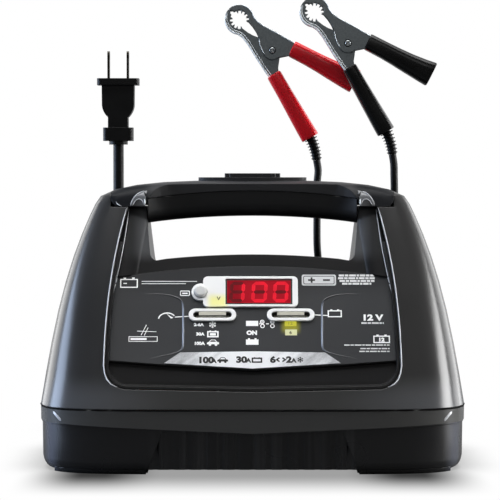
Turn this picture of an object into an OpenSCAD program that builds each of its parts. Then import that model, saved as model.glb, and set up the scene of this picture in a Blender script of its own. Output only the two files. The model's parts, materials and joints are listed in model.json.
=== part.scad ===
// Bench battery charger with a carrying handle, sloping control panel, mains lead and two
// spring clamps. The origin is the middle of the footprint on the bench. -Y is the front.

/* [Case] */
// Width of the case at the seam between base tray and housing
case_w = 268; // [220:2:340]
// Depth of the case at the seam
case_d = 190; // [165:2:240]
// Height of the handle's top at its middle
case_h = 180; // [168:1:215]
// Height of the seam between base tray and housing
seam_z = 40; // [36:1:46]
// Height at which the sides turn in to the top of the handle
shoulder_z = 165; // [158:1:190]
// Wall thickness of the moulded shells
wall = 3; // [2.4:0.2:3.6]
// Squareness in plan, where 2 is an ellipse and a high value a rectangle
squareness = 5.5; // [4.5:0.5:8]
// How far each side leans in between seam and shoulder
side_lean = 18.5; // [12:0.5:24]
// How much further each side curls in towards the shoulder
side_curl = 14.1; // [8:0.5:18]
// Angle by which the front and back lean from upright
face_lean = 28; // [24:1:30]
// Gap left between neighbouring mouldings
gap = 0.3; // [0.2:0.05:0.4]

/* [Base tray] */
// Height of the tray's underside above the bench
base_lift = 3; // [2:0.5:5]
// How far the lower skirt stands in from the band above it
skirt_step = 0.9; // [0.7:0.1:2.5]
// Depth of the fluted middle panel
flute_panel_depth = 3; // [2:0.5:4]
// Number of flutes in the middle panel
flutes = 13; // [7:2:17]
// Radius of the rubber feet
foot_r = 9; // [7:0.5:11]

/* [Control panel] */
// Width of the recess at the bottom of the panel
recess_w = 182.6; // [170:0.2:190]
// How far the recess narrows on each side up to the handle
recess_draw = 12.1; // [8:0.1:16]
// Height of the bottom of the recess
recess_z = 50.6; // [48:0.2:56]
// Depth of the panel's plane behind the housing's front
panel_set_back = 9; // [7:0.5:11]
// Thickness of the fascia plate
fascia_t = 3; // [2.4:0.2:4]
// Height of the raised panel that carries the label
plateau_t = 2; // [1.4:0.2:2.6]
// Thickness of the printed label
label_t = 0.5; // [0.3:0.1:0.8]
// Width of the display's clear window
window_w = 41.6; // [38:0.2:46]
// Height of the display's clear window
window_h = 17.4; // [15:0.2:18.6]
// Width of the two push bars
bar_w = 17; // [14:0.5:20]
// Height of the two push bars
bar_h = 3.3; // [2.8:0.1:3.8]
// Diameter of the round display button
button_d = 8; // [6.5:0.5:9]
// Travel of the push bars and the button
key_travel = 1.2; // [0.8:0.1:1.5]

/* [Handle] */
// Clear width between the pillars at the sill
sill_w = 130; // [116:1:134]
// Height of the sill at its middle
sill_z = 133.2; // [130:0.2:138]
// Height of the grip's underside at its middle
grip_z = 157.3; // [154:0.1:160]
// Height of the joint between cover and grip at its middle
cover_z = 173.6; // [171:0.1:175]
// Half depth of the handle at its middle
handle_half_d = 19; // [16:0.5:22]

/* [Mains lead] */
// Diameter of the mains cord
mains_d = 7; // [6:0.5:8]
// Turns in the stored mains cord
mains_turns = 6.5; // [4.5:1:8.5]
// Distance between the mains plug's blades
blade_pitch = 12.7; // [12.7:0.1:12.7]

/* [Battery leads] */
// Diameter of each battery lead
lead_d = 5; // [4.5:0.1:5.5]
// Turns in each stored battery lead
lead_turns = 6.5; // [4.5:1:8.5]

/* [Clamps] */
// Radius of the clamp's round head
head_r = 9.8; // [9:0.2:11]
// Radius of the round opening between the jaws
mouth_r = 6.3; // [5.8:0.1:6.8]
// Distance from rivet to the middle of the head
head_reach = 30; // [28:0.5:34]
// Thickness of the clamp's sheet steel
steel_t = 1.2; // [1:0.1:1.4]
// Half width of the lead arm, across its side plates
lead_arm_half = 5.1; // [4.8:0.1:5.6]
// Thickness of the grips across the clamp
grip_t = 17; // [16.6:0.2:19]
// Angle of each arm's tail from the clamp's own axis
arm_angle = 16.5; // [15:0.5:18]
// Teeth on each jaw
teeth = 5; // [3:1:6]

/* [Inside] */
// Width of the transformer's laminations
core_w = 84; // [72:2:90]
// Height of the transformer's laminations
core_h = 70; // [60:1:74]
// Thickness of the transformer's stack
core_t = 40; // [30:2:46]
// Width of the cooling fan
fan_w = 60; // [50:5:60]
// Thickness of the cooling fan
fan_t = 15; // [10:1:20]
// Blades on the fan
fan_blades = 7; // [5:1:9]
// Fins on the heat sink
fins = 9; // [6:1:12]

/* [Hidden] */

$fn = 48;
eps = 0.01;

charcoal = "#343537";
jet = "#1a1a1b";
off_white = "#f2f2f0";
ivory = "#d8d6c8";
steel = "#6b7070";
red_vinyl = "#a50f1a";

// ---------- the case's outer form ----------

ring_points = 40;
side_levels = [58, 78, 98, 116, 132, 146, 157];
dome_angles = [0, 20, 38, 54, 68, 80];
dome_power = 0.57;
edge_r = 8;
skirt_draft = 0.5;

// Half width of the case at a height, up to the shoulder
function half_w(z) = let (s = (z - seam_z) / (shoulder_z - seam_z))
    case_w / 2 - side_lean * s - side_curl * pow(s, 3);

// Half depth of the case at a height, up to the shoulder
function half_d(z) = case_d / 2 - (z - seam_z) * tan(face_lean);

// One point of the rounded rectangle that the case is in plan
function plan_point(a, b, t) = [
    a * sign(cos(t)) * pow(abs(cos(t)), 2 / squareness),
    b * sign(sin(t)) * pow(abs(sin(t)), 2 / squareness)];

// Half depth of that rounded rectangle at a distance from its middle
function plan_depth(a, b, x) = b * pow(1 - pow(abs(x) / a, squareness), 1 / squareness);

// Distance from the middle to the outer back face, at a height and a sideways place
function back_y(x, z) = plan_depth(half_w(z), half_d(z), x);

function plan_ring(a, b, z) = [for (i = [0 : ring_points - 1])
    let (p = plan_point(a, b, 360 * i / ring_points)) [p[0], p[1], z]];

// Rings of the housing from the seam to the top, all moved in by an inset
function housing_rings(inset, from_z) = concat(
    [for (z = concat([from_z], side_levels)) if (z >= from_z && z < shoulder_z)
        plan_ring(half_w(z) - inset, half_d(z) - inset, z)],
    [for (a = dome_angles) let (f = pow(cos(a), dome_power))
        plan_ring((half_w(shoulder_z) - inset) * f, (half_d(shoulder_z) - inset) * f,
            shoulder_z + (case_h - inset - shoulder_z) * sin(a))]);

// Rings of the base tray from its underside to the seam
function base_rings(inset, from_z) = [for (z = [from_z, 1.6, 3, 5, 8, 20, seam_z])
    if (z >= from_z) let (
        lift = max(0, edge_r - z),
        round_in = edge_r - sqrt(max(0, edge_r * edge_r - lift * lift)),
        move_in = inset + round_in + skirt_draft * (seam_z - z) / seam_z)
    plan_ring(case_w / 2 - move_in, case_d / 2 - move_in, z)];

// Closed skin over a stack of rings that turn anticlockwise when seen from the last one
module skin(rings) {
    n = len(rings[0]);
    last = len(rings) - 1;
    sides = [for (k = [0 : last - 1]) for (i = [0 : n - 1]) let (j = (i + 1) % n, a = k * n)
        each [[a + i, a + n + i, a + n + j], [a + i, a + n + j, a + j]]];
    ends = [[for (i = [0 : n - 1]) i], [for (i = [n - 1 : -1 : 0]) last * n + i]];
    polyhedron(points = [for (r = rings) each r], faces = concat(sides, ends), convexity = 8);
}

// Points of an arc, for the round corners of an outline
function arc(x, y, r, from, to, steps = 6) = [for (i = [0 : steps])
    let (a = from + (to - from) * i / steps) [x + r * cos(a), y + r * sin(a)]];

// A straight bar along Y whose section is an outline drawn in X and Z
module along_y(from_y, to_y) {
    translate([0, to_y, 0]) rotate([90, 0, 0]) linear_extrude(to_y - from_y) children();
}

// A straight bar along X whose section is an outline drawn in Y and Z
module along_x(from_x, to_x) {
    translate([from_x, 0, 0]) rotate([90, 0, 90]) linear_extrude(to_x - from_x) children();
}

module both_sides() {
    children();
    mirror([1, 0, 0]) children();
}

module four_corners(x, y) {
    for (sx = [-1, 1], sy = [-1, 1]) translate([sx * x, sy * y, 0]) children();
}

module rounded_rect(w, h, r) {
    polygon(concat(arc(w / 2 - r, h / 2 - r, r, 0, 90), arc(r - w / 2, h / 2 - r, r, 90, 180),
        arc(r - w / 2, r - h / 2, r, 180, 270), arc(w / 2 - r, r - h / 2, r, 270, 360)));
}

// ---------- the sloping panel's own frame: X across, Y up the slope, Z out of the panel ----------

panel_z = recess_z + 12.9;
panel_y = -(case_d / 2 - (panel_z - seam_z) * tan(face_lean)) + panel_set_back / cos(face_lean);

module on_panel() {
    translate([0, panel_y, panel_z]) rotate([90 - face_lean, 0, 0]) children();
}

// ---------- outlines seen from the front ----------

pillar_z = 163.2;
recess_corner = 14;
recess_power = 2.2;
recess_sag = 1.4;

// Half width of the recess at a height
function recess_half(z) = recess_w / 2
    - recess_draw * pow(max(0, z - recess_z - 15) / (pillar_z - recess_z - 15), recess_power);

function recess_side(inset) = concat(
    arc(recess_w / 2 - recess_corner, recess_z + recess_sag + recess_corner,
        recess_corner - inset, -85, 0),
    [for (z = [80, 98, 115, 130, 142, 153, pillar_z + eps]) [recess_half(z) - inset, z]]);

module recess_outline(inset = 0) {
    side = recess_side(inset);
    polygon(concat([[0, recess_z + inset]], side,
        [for (i = [len(side) - 1 : -1 : 0]) [-side[i][0], side[i][1]]]));
}

// Outline of the space under the handle, open at the top
window_flare = 3;
window_corner = 5;
sill_drop = 3.8;

// Half width of the space between the pillars at a height
function window_half(z) = sill_w / 2 + window_flare * (z - sill_z) / (pillar_z - sill_z);

function sill_height(x) = sill_z - sill_drop * pow(x / (sill_w / 2), 2);

module window_outline(grow = 0, top = 200) {
    half = sill_w / 2;
    top_half = window_half(top) + grow;
    corner_x = half + grow - window_corner;
    corner_z = sill_height(half) - grow + window_corner;
    polygon(concat(
        [for (i = [-6 : 6]) let (x = i * corner_x / 6.6) [x, sill_height(x) - grow]],
        arc(corner_x, corner_z, window_corner, -80, 0, 4),
        [[top_half, top], [-top_half, top]],
        arc(-corner_x, corner_z, window_corner, 180, 260, 4)));
}

// ---------- base tray ----------

band_z = 25.4;
band_rise = 5.2;
panel_top_half = 55.2;
panel_foot_half = 64.6;
flute_depth = 0.8;
boss_x = 104;
boss_y = 66;
mid_boss_y = case_d / 2 - 11.5;
boss_r = 5;
screw_r = 1.95;
screw_hole_r = 2.3;
screw_head_r = 3.9;
screw_tip_z = seam_z + 6;
counterbore_r = 4.3;
floor_top = base_lift + wall;
screw_seat_z = floor_top + 2;

// Height of the V line between band and skirt
function band_height(x) = band_z + band_rise * min(1, abs(x) / (case_w / 2 - 18));

module skirt_region() {
    edge = case_w / 2 + 5;
    along_y(-case_d, case_d)
        polygon([[-edge, -5], [edge, -5], [edge, band_height(edge)], [0, band_z],
            [-edge, band_height(edge)]]);
}

module flute_panel_outline() {
    polygon([[-panel_foot_half, -5], [panel_foot_half, -5], [panel_foot_half, base_lift],
        [panel_top_half, band_height(panel_top_half) - 1], [0, band_z - 1],
        [-panel_top_half, band_height(panel_top_half) - 1], [-panel_foot_half, base_lift]]);
}

module boss_places() {
    four_corners(boss_x, boss_y) children();
    for (sy = [-1, 1]) translate([0, sy * mid_boss_y, 0]) children();
}

module base_form() {
    difference() {
        skin(base_rings(0, 0.6));
        difference() {
            skirt_region();
            skin(base_rings(skirt_step, 0));
        }
    }
}

module fluted_recess() {
    back = -case_d / 2 + skirt_step + flute_panel_depth;
    pitch = 2 * panel_foot_half / flutes;
    flute_r = pitch * 0.4;
    along_y(-case_d, back) flute_panel_outline();
    intersection() {
        along_y(-case_d, 0) flute_panel_outline();
        for (i = [0 : flutes - 1])
            translate([(i - (flutes - 1) / 2) * pitch, back - flute_r + flute_depth, -1])
                cylinder(r = flute_r, h = seam_z);
    }
}

module base_tray() {
    color(jet) difference() {
        union() {
            difference() {
                base_form();
                translate([0, 0, floor_top]) linear_extrude(seam_z) tray_cavity_outline();
            }
            boss_places() cylinder(r = boss_r, h = seam_z - 4);
        }
        fluted_recess();
        translate([-panel_foot_half, -case_d, -1])
            cube([2 * panel_foot_half, 2 * case_d, base_lift + 1]);
        translate([-case_w, -foot_block_half, -1])
            cube([2 * case_w, 2 * foot_block_half, base_lift + 1]);
        boss_places() {
            translate([0, 0, -1]) cylinder(r = screw_hole_r, h = seam_z + 2);
            translate([0, 0, -1]) cylinder(r = counterbore_r, h = screw_seat_z + 1);
        }
        four_corners(foot_x, foot_y) translate([0, 0, -1]) cylinder(r = foot_r + gap, h = 3);
        tray_side_vents();
        for (x = gland_places) along_y(case_d / 2 - 12, case_d / 2 + 5)
            translate([x, gland_z]) circle(r = x == mains_gland_x ? mains_neck_r : lead_neck_r);
    }
}

foot_block_half = 42;
foot_x = 86;
foot_y = 56;

tray_inset = wall + skirt_step + flute_panel_depth;
tray_half_w = case_w / 2 - tray_inset + 2;
tray_half_d = case_d / 2 - tray_inset;

// The tray's inside clears the fluted panels by one wall thickness
module tray_cavity_outline() {
    polygon([for (i = [0 : ring_points - 1])
        plan_point(tray_half_w, tray_half_d, 360 * i / ring_points)]);
}

module tray_side_vents() {
    for (sx = [-1, 1], i = [-3 : 3])
        translate([sx * (case_w / 2 - 6), i * 8, 14 + 7]) cube([20, 2.6, 14], center = true);
}

module rubber_feet() {
    color("#101011") four_corners(foot_x, foot_y) cylinder(r = foot_r, h = 2);
}

module case_screws() {
    color(steel) boss_places() {
        translate([0, 0, screw_seat_z - 2]) cylinder(r = screw_head_r, h = 2);
        translate([0, 0, screw_seat_z - eps]) cylinder(r = screw_r, h = screw_tip_z - screw_seat_z);
    }
}

// ---------- upper housing ----------

cover_half = 90.5;
vent_slots = 9;
post_r = 4.6;
post_bore_r = 2;
post_h = 50;

// Slab behind the panel's plane, cut to an outline seen from the front
module behind_panel(from_w, to_w) {
    on_panel() translate([-case_w, -80, from_w]) cube([2 * case_w, 260, to_w - from_w]);
}

// Slab parallel to the housing's leaning front, at distances out of its surface
module behind_face(from_w, to_w) {
    translate([0, -half_d(panel_z), panel_z]) rotate([90 - face_lean, 0, 0])
        translate([-case_w, -80, from_w]) cube([2 * case_w, 260, to_w - from_w]);
}

module housing_vents() {
    for (sx = [-1, 1], i = [-4 : 4])
        translate([sx * (case_w / 2 - 6), i * 7, 76]) cube([30, 2.6, 44], center = true);
    for (i = [-5 : 5])
        translate([i * 9, case_d / 2 - 20, 86]) cube([3, 60, 30], center = true);
}

module upper_housing() {
    color(charcoal) difference() {
        union() {
            difference() {
                skin(housing_rings(0, seam_z + gap));
                skin(housing_rings(wall, seam_z - 1));
            }
            intersection() {
                skin(housing_rings(wall / 2, seam_z + gap));
                boss_places() translate([0, 0, seam_z - 3.5]) cylinder(r = post_r, h = post_h);
            }
        }
        along_y(-case_d, 0) recess_outline();
        handle_space(liner_t + gap);
        translate([-cover_half, -case_d, pillar_z]) cube([2 * cover_half, 2 * case_d, 60]);
        boss_places() translate([0, 0, seam_z - 5]) cylinder(r = post_bore_r, h = 13);
        housing_vents();
    }
}

liner_t = 2.4;
sleeve_inset = 0.8;
rim_t = 1.8;
rim_inset = 0.8;

// ---------- front fascia with the sleeve that lines the space under the handle ----------

pillar_r = 15;
sleeve_fall = 4;
label_foot = -1.4;
label_top = 69.2;
label_shoulder = 61.4;
label_corner = 4.8;

function label_half(v) = recess_half(panel_z + v * cos(face_lean)) - gap - rim_t - 0.2;

// Outline of the printed label on the slope, its foot a shallow V and its head a long arc
module label_outline(inset = 0) {
    head = [for (i = [-8 : 8]) let (x = i / 8 * (label_half(label_shoulder) - inset))
        [-x, label_top - inset - (label_top - label_shoulder) * pow(i / 8, 2)]];
    sides = [for (v = [18, 32, 46]) [label_half(v) - inset, v]];
    polygon(concat([[0, label_foot + inset], [55, 2 + inset],
        [label_half(label_corner) - inset, label_corner + inset]], sides, head,
        [for (i = [2 : -1 : 0]) [-sides[i][0], sides[i][1]]],
        [[inset - label_half(label_corner), label_corner + inset], [-55, 2 + inset]]));
}

window_u = 4;
window_v = 51.2;
bezel_u = -1.3;
bezel_v = 51.3;
bezel_w = 59.6;
bezel_h = 20.8;
button_u = -32.6;
button_v = 51;
lobe_r = button_d / 2 + 1.7;
rate_u = -25.1;
type_u = 23.9;
key_v = 35.4;
slot_w = bar_w + 7.2;
slot_h = bar_h + 1.1;
surround_w = slot_w + 5.6;
surround_h = slot_h + 3.8;
display_cut_w = window_w + 3;
display_cut_h = window_h + 2;

module key_cuts() {
    for (u = [rate_u, type_u]) translate([u, key_v]) rounded_rect(slot_w, slot_h, slot_h / 2 - eps);
    translate([button_u, button_v]) circle(d = button_d + 2 * gap);
}

module panel_cuts(from_w, to_w) {
    translate([0, 0, from_w]) linear_extrude(to_w - from_w) {
        key_cuts();
        translate([window_u, window_v]) square([display_cut_w, display_cut_h], center = true);
    }
}

// The space under the handle, grown by a wall: its floor falls away behind the sill
module handle_space(grow, top = 200) {
    sill_y = panel_y + (sill_z - panel_z) * tan(face_lean);
    along_y(-case_d, case_d) window_outline(grow, top);
    translate([0, sill_y, sill_z]) rotate([-sleeve_fall, 0, 0]) translate([0, -sill_y, -sill_z])
        along_y(sill_y, case_d) window_outline(grow, top);
}

module sleeve() {
    difference() {
        intersection() {
            handle_space(liner_t);
            translate([-case_w / 2, -case_d / 2, 0]) cube([case_w, case_d, pillar_z]);
        }
        handle_space(0);
        behind_panel(0, 200);
        mirror([0, 1, 0]) behind_face(-sleeve_inset, 200);
    }
}

// Rim that closes the step from the housing's skin down to the sunk panel
module recess_rim() {
    intersection() {
        along_y(-case_d, 0) difference() {
            recess_outline(gap);
            recess_outline(gap + rim_t);
            translate([-case_w, sill_z + 8]) square([2 * case_w, 100]);
        }
        difference() {
            skin(housing_rings(rim_inset, seam_z + gap));
            behind_panel(-200, -fascia_t);
        }
    }
}

module pillar_faces() {
    intersection() {
        along_y(-case_d, 0) difference() {
            recess_outline(gap);
            window_outline(0);
        }
        both_sides() bar_between(pillar_axis(sill_z - 22), pillar_axis(pillar_z + 20), pillar_r);
        translate([-case_w, -case_d, sill_z - 14]) cube([2 * case_w, case_d, pillar_z - sill_z + 14]);
    }
}

function pillar_axis(z) = [recess_half(min(z, pillar_z)) - 7,
    panel_y + (z - panel_z) * tan(face_lean) + pillar_r - 2.2, z];

// Round bar from one point to another
module bar_between(from, to, r) {
    run = to - from;
    translate(from) rotate([0, acos(run[2] / norm(run)), atan2(run[1], run[0])])
        cylinder(r = r, h = norm(run));
}

module front_fascia() {
    color(charcoal) difference() {
        union() {
            intersection() {
                along_y(-case_d, 0) difference() {
                    recess_outline(gap);
                    window_outline(0);
                }
                behind_panel(-fascia_t, 0);
            }
            on_panel() linear_extrude(plateau_t) label_outline(-0.6);
            sleeve();
            recess_rim();
            pillar_faces();
        }
        on_panel() panel_cuts(-fascia_t - 1, plateau_t + 1);
        on_panel() translate([0, 0, label_w]) linear_extrude(20) label_outline(-eps);
    }
    color(charcoal) on_panel() at_board_screws() difference() {
        translate([0, 0, board_w + board_t]) cylinder(r = board_post_r, h = -fascia_t - board_w - board_t + 1);
        translate([0, 0, board_w]) cylinder(r = board_screw_r + 0.1, h = -fascia_t - board_w);
    }
}

// ---------- handle ----------

cover_end_r = 5;
cover_drop = 4.9;
grip_drop = 4.3;
grip_half_w = window_half(grip_z - grip_drop);
grip_r = 8;
waist_from = 52;
waist_to = 74;
pad_half_w = 35;
pad_half_d = 13;
pad_top = 182;
rib_top = 184.6;

function cover_line(x) = cover_z - cover_drop * pow(x / grip_half_w, 2);
function grip_line(x) = grip_z - grip_drop * pow(x / grip_half_w, 2);
function handle_depth(x) = let (s = min(1, max(0, (abs(x) - waist_from) / (waist_to - waist_from))))
    handle_half_d + (half_d(pillar_z) + 1 - handle_half_d) * (3 * s * s - 2 * s * s * s);

module handle_plan(inset = 0) {
    steps = 20;
    front = [for (i = [-steps : steps]) let (x = i / steps * (cover_half - gap - inset))
        [x, -handle_depth(x) + inset]];
    polygon(concat(front, [for (i = [len(front) - 1 : -1 : 0]) [front[i][0], -front[i][1]]]));
}

module cover_outline() {
    half = cover_half - gap;
    low = pillar_z + gap;
    right = concat([for (i = [1 : 8]) let (x = i / 8 * grip_half_w) [x, cover_line(x)]],
        [[grip_half_w + 1.6, low]], arc(half - cover_end_r, low + cover_end_r, cover_end_r, -90, 0),
        [[half, case_h + 10]]);
    polygon(concat([[0, cover_line(0)]], right,
        [for (i = [len(right) - 1 : -1 : 0]) [-right[i][0], right[i][1]]]));
}

module handle_cover() {
    color(charcoal) {
        difference() {
            intersection() {
                skin(housing_rings(0, 150));
                along_y(-case_d, case_d) cover_outline();
                translate([0, 0, 150]) linear_extrude(50) handle_plan();
            }
            intersection() {
                skin(housing_rings(wall, 150));
                translate([0, 0, 150]) linear_extrude(50) handle_plan(wall);
            }
        }
        grip_pad();
    }
}

module grip_pad() {
    difference() {
        union() {
            translate([0, 0, case_h - 6]) scale([1, pad_half_d / pad_half_w, 1])
                linear_extrude(pad_top - case_h + 6) circle(r = pad_half_w);
            for (y = [-6, 0, 6]) translate([0, y, case_h])
                linear_extrude(rib_top - case_h) rounded_rect(36 - abs(y), 2.6, 1.2);
        }
        translate([-50, -50, 100]) cube([100, 100, case_h - wall / 2 - 100]);
    }
}

// Section of the grip at a distance from the middle, drawn from front to back along its belly
function grip_section(x, inset = 0) = let (
    top = cover_line(x) - gap, low = grip_line(x) + inset, half = handle_depth(x) - 0.6 - inset)
    concat([[-half, top]], arc(grip_r - half, low + grip_r, grip_r, 180, 270, 5),
        arc(half - grip_r, low + grip_r, grip_r, 270, 360, 5), [[half, top]]);

module handle_grip() {
    color(jet) difference() {
        skin([for (i = [-8 : 8]) let (x = i / 8 * (grip_half_w - gap))
            [for (p = grip_section(x)) [x, p[0], p[1]]]]);
        skin([for (i = [-8 : 8]) let (x = i / 8 * (grip_half_w - 4), p = grip_section(x, wall))
            [for (j = [0 : len(p) - 1]) [x, p[j][0], p[j][1] + (j == 0 || j == len(p) - 1 ? 3 : 0)]]]);
    }
}

// ---------- clips that hold the leads against the back ----------

clip_h = 8;
clip_wall = 2;
clip_z = 164;
mains_up_x = -88.7;
mains_up_y = 35.5;
red_up_x = 43.2;
red_up_y = 50;
black_up_x = 93.9;
black_clip_y = 32.4;

module cord_clip(x, y, z, d, stem) {
    outer = d / 2 + gap / 2 + clip_wall;
    translate([x, y, z]) difference() {
        union() {
            cylinder(r = outer, h = clip_h, center = true);
            translate([-3, -stem - outer + 1, -clip_h / 2]) cube([6, stem + outer - 1, clip_h]);
        }
        cylinder(r = d / 2 + gap / 2, h = clip_h + 2, center = true);
        translate([-d * 0.36, 0, -clip_h]) cube([d * 0.72, outer + 2, 2 * clip_h]);
    }
}

module cord_clips() {
    color(charcoal) difference() {
        union() {
            cord_clip(mains_up_x, mains_up_y, clip_z, mains_d, 12);
            cord_clip(black_up_x, black_clip_y, clip_z, lead_d, 12);
            cord_clip(red_up_x, red_up_y, clip_z, lead_d, 32);
        }
        skin(housing_rings(-0.1, 120));
    }
}

// ---------- label, silver strip, display and keys ----------

label_w = plateau_t;
strip_w = plateau_t + label_t;
trim_w = strip_w + 1.6;

module strip_outline(inset = 0) {
    polygon([[0, label_foot + 0.5 + inset], [54.8 - inset, 2.7 + inset], [45 - inset, 9.9 - inset],
        [0, 10.7 - inset], [inset - 45, 9.9 - inset], [inset - 54.8, 2.7 + inset]]);
}

module panel_label() {
    color("#3b3c3e") on_panel() difference() {
        translate([0, 0, label_w]) linear_extrude(label_t) label_outline();
        panel_cuts(label_w - 1, label_w + 2);
    }
}

module rating_strip() {
    color("#cfcfcf") on_panel() translate([0, 0, strip_w]) linear_extrude(0.4) strip_outline();
}

module bezel_outline() {
    translate([bezel_u, bezel_v]) rounded_rect(bezel_w, bezel_h, 3);
    translate([button_u, button_v]) circle(r = lobe_r);
}

module display_bezel() {
    color(off_white) on_panel() difference() {
        translate([0, 0, strip_w]) linear_extrude(trim_w - strip_w) bezel_outline();
        translate([window_u, window_v, strip_w - 1]) linear_extrude(10)
            square([window_w + 0.4, window_h + 0.4], center = true);
        translate([button_u, button_v, strip_w - 1]) cylinder(d = button_d + 2 * gap, h = 10);
    }
}

module display_window() {
    color("#8a1a22") on_panel() translate([window_u, window_v, strip_w - 0.8])
        linear_extrude(trim_w - strip_w + 0.3) square([window_w, window_h], center = true);
}

module key_surrounds() {
    color(off_white) on_panel() for (u = [rate_u, type_u])
        translate([u, key_v, strip_w]) linear_extrude(trim_w - strip_w - 0.2) difference() {
            rounded_rect(surround_w, surround_h, surround_h / 2 - eps);
            rounded_rect(slot_w, slot_h, slot_h / 2 - eps);
        }
}

key_flange = 1.2;
key_top = trim_w - 0.3;
flange_top = -fascia_t - 0.1;

module push_bar(u) {
    on_panel() translate([u, key_v]) {
        translate([0, 0.4, flange_top]) linear_extrude(key_top - flange_top)
            rounded_rect(bar_w, bar_h, 0.8);
        translate([0, 0, flange_top - key_flange]) linear_extrude(key_flange)
            square([bar_w + 4, slot_h + 3], center = true);
    }
}

module rate_key() {
    color(ivory) push_bar(rate_u);
}

module type_key() {
    color(ivory) push_bar(type_u);
}

module display_button() {
    color("#c9c9c6") on_panel() translate([button_u, button_v]) {
        translate([0, 0, flange_top]) cylinder(d = button_d, h = trim_w + 1.2 - flange_top);
        translate([0, 0, trim_w + 1.2 - eps]) cylinder(d1 = button_d, d2 = button_d - 2, h = 0.8);
        translate([0, 0, flange_top - key_flange]) cylinder(d = button_d + 3, h = key_flange);
    }
}

// ---------- control board behind the panel ----------

board_w = -13.6;
board_t = 1.6;
board_size = [118, 56];
board_mid_v = 38;
switch_h = 5.8;
board_post_r = 3;
board_screw_r = 1.5;

module at_board_screws() {
    translate([0, board_mid_v, 0]) four_corners(board_size[0] / 2 - 5, board_size[1] / 2 - 5) children();
}

module control_board() {
    color("#1f5a34") on_panel() translate([0, board_mid_v, board_w]) difference() {
        linear_extrude(board_t) rounded_rect(board_size[0], board_size[1], 2);
        four_corners(board_size[0] / 2 - 5, board_size[1] / 2 - 5)
            translate([0, 0, -1]) cylinder(r = 1.7, h = 4);
    }
}

module digit_display() {
    depth = strip_w - 0.9 - board_w - board_t;
    color("#3a1214") on_panel() translate([window_u, window_v, board_w + board_t])
        linear_extrude(depth) square([window_w - 2, window_h - 0.6], center = true);
}

module key_switches() {
    color("#2b2b2b") on_panel() for (p = [[rate_u, key_v], [type_u, key_v], [button_u, button_v]])
        translate([p[0], p[1], board_w + board_t]) {
            translate([-3, -3, 0]) cube([6, 6, 3.6]);
            cylinder(r = 1.7, h = switch_h);
        }
}

led_places = [[-0.3, 31], [-0.3, 24.4], [0, 18.5], [24, 31.4], [24, 24.9],
    [-24.4, 29.9], [-24.4, 23.8], [-24.4, 17.2]];

module indicator_leds() {
    color("#d8e070") on_panel() for (p = led_places)
        translate([p[0], p[1], board_w + board_t]) {
            translate([-1.6, -1, 0]) cube([3.2, 2, 1]);
            translate([0, 0, 1 - eps]) cylinder(r = 0.9, h = 0.6);
        }
}

module board_screws() {
    color(steel) on_panel() at_board_screws() {
        translate([0, 0, board_w - 1.6]) cylinder(r = 2.8, h = 1.6);
        translate([0, 0, board_w - eps]) cylinder(r = board_screw_r, h = -fascia_t - board_w - 1);
    }
}

// ---------- transformer, rectifier and fan ----------

transformer_x = -48;
transformer_y = 12;
leg_w = 14;
bobbin_gap = 0.4;
bolt_r = 2;

module at_transformer() {
    translate([transformer_x, transformer_y, floor_top + 2]) children();
}

// Laminations of the shape of two windows beside a middle leg
module transformer_core() {
    color("#4a4d50") at_transformer() {
        difference() {
            translate([0, -core_t / 2, 0]) along_y(0, core_t) difference() {
                translate([-core_w / 2, 0]) square([core_w, core_h]);
                for (s = [-1, 1])
                    translate([s * (leg_w + (core_w / 2 - 2 * leg_w) / 2), core_h / 2])
                        square([core_w / 2 - 2 * leg_w, core_h - 2 * leg_w], center = true);
            }
            core_bolt_holes();
        }
        for (sx = [-1, 1]) translate([sx * core_w / 2 - (sx > 0 ? 8 : 2), -core_t / 2 - 8, -2])
            cube([10, core_t + 16, 2]);
    }
}

module core_bolt_holes() {
    for (sx = [-1, 1], z = [leg_w / 2, core_h - leg_w / 2])
        translate([sx * (core_w / 2 - leg_w / 2), 0, z]) rotate([90, 0, 0])
            cylinder(r = bolt_r + 0.1, h = core_t + 2, center = true);
}

module transformer_bolts() {
    color(steel) at_transformer()
        for (sx = [-1, 1], z = [leg_w / 2, core_h - leg_w / 2])
            translate([sx * (core_w / 2 - leg_w / 2), 0, z]) rotate([90, 0, 0]) {
                cylinder(r = bolt_r, h = core_t + 9, center = true);
                for (s = [-1, 1]) translate([0, 0, s * (core_t / 2 + 1.6)])
                    cylinder(r = 3.8, h = 3, center = true, $fn = 6);
            }
}

module bobbin_tube(grow, height) {
    linear_extrude(height, center = true) difference() {
        rounded_rect(2 * (leg_w + grow), core_t + 2 * grow, 1);
        square([2 * (leg_w + bobbin_gap), core_t + 2 * bobbin_gap], center = true);
    }
}

module transformer_bobbin() {
    inner_h = core_h - 2 * leg_w - 1;
    color("#c9b98a") at_transformer() translate([0, 0, core_h / 2]) {
        bobbin_tube(2, inner_h);
        for (s = [-1, 1]) translate([0, 0, s * (inner_h / 2 - 1)])
            bobbin_tube(core_w / 2 - 2 * leg_w - 1, 2);
    }
}

module transformer_winding() {
    inner_h = core_h - 2 * leg_w - 6;
    turns = 7;
    pitch = inner_h / turns;
    color("#b5652c") at_transformer() translate([0, 0, core_h / 2]) difference() {
        union() {
            bobbin_tube(core_w / 2 - 2 * leg_w - 3, inner_h);
            for (i = [0 : turns - 1]) translate([0, 0, (i - (turns - 1) / 2) * pitch])
                bobbin_tube(core_w / 2 - 2 * leg_w - 2, pitch * 0.7);
        }
        cube([2 * (leg_w + 2.3), core_t + 4.6, core_h], center = true);
    }
}

power_z = floor_top + 6;
power_x = 44;
power_y = 8;
power_size = [84, 108];

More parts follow.
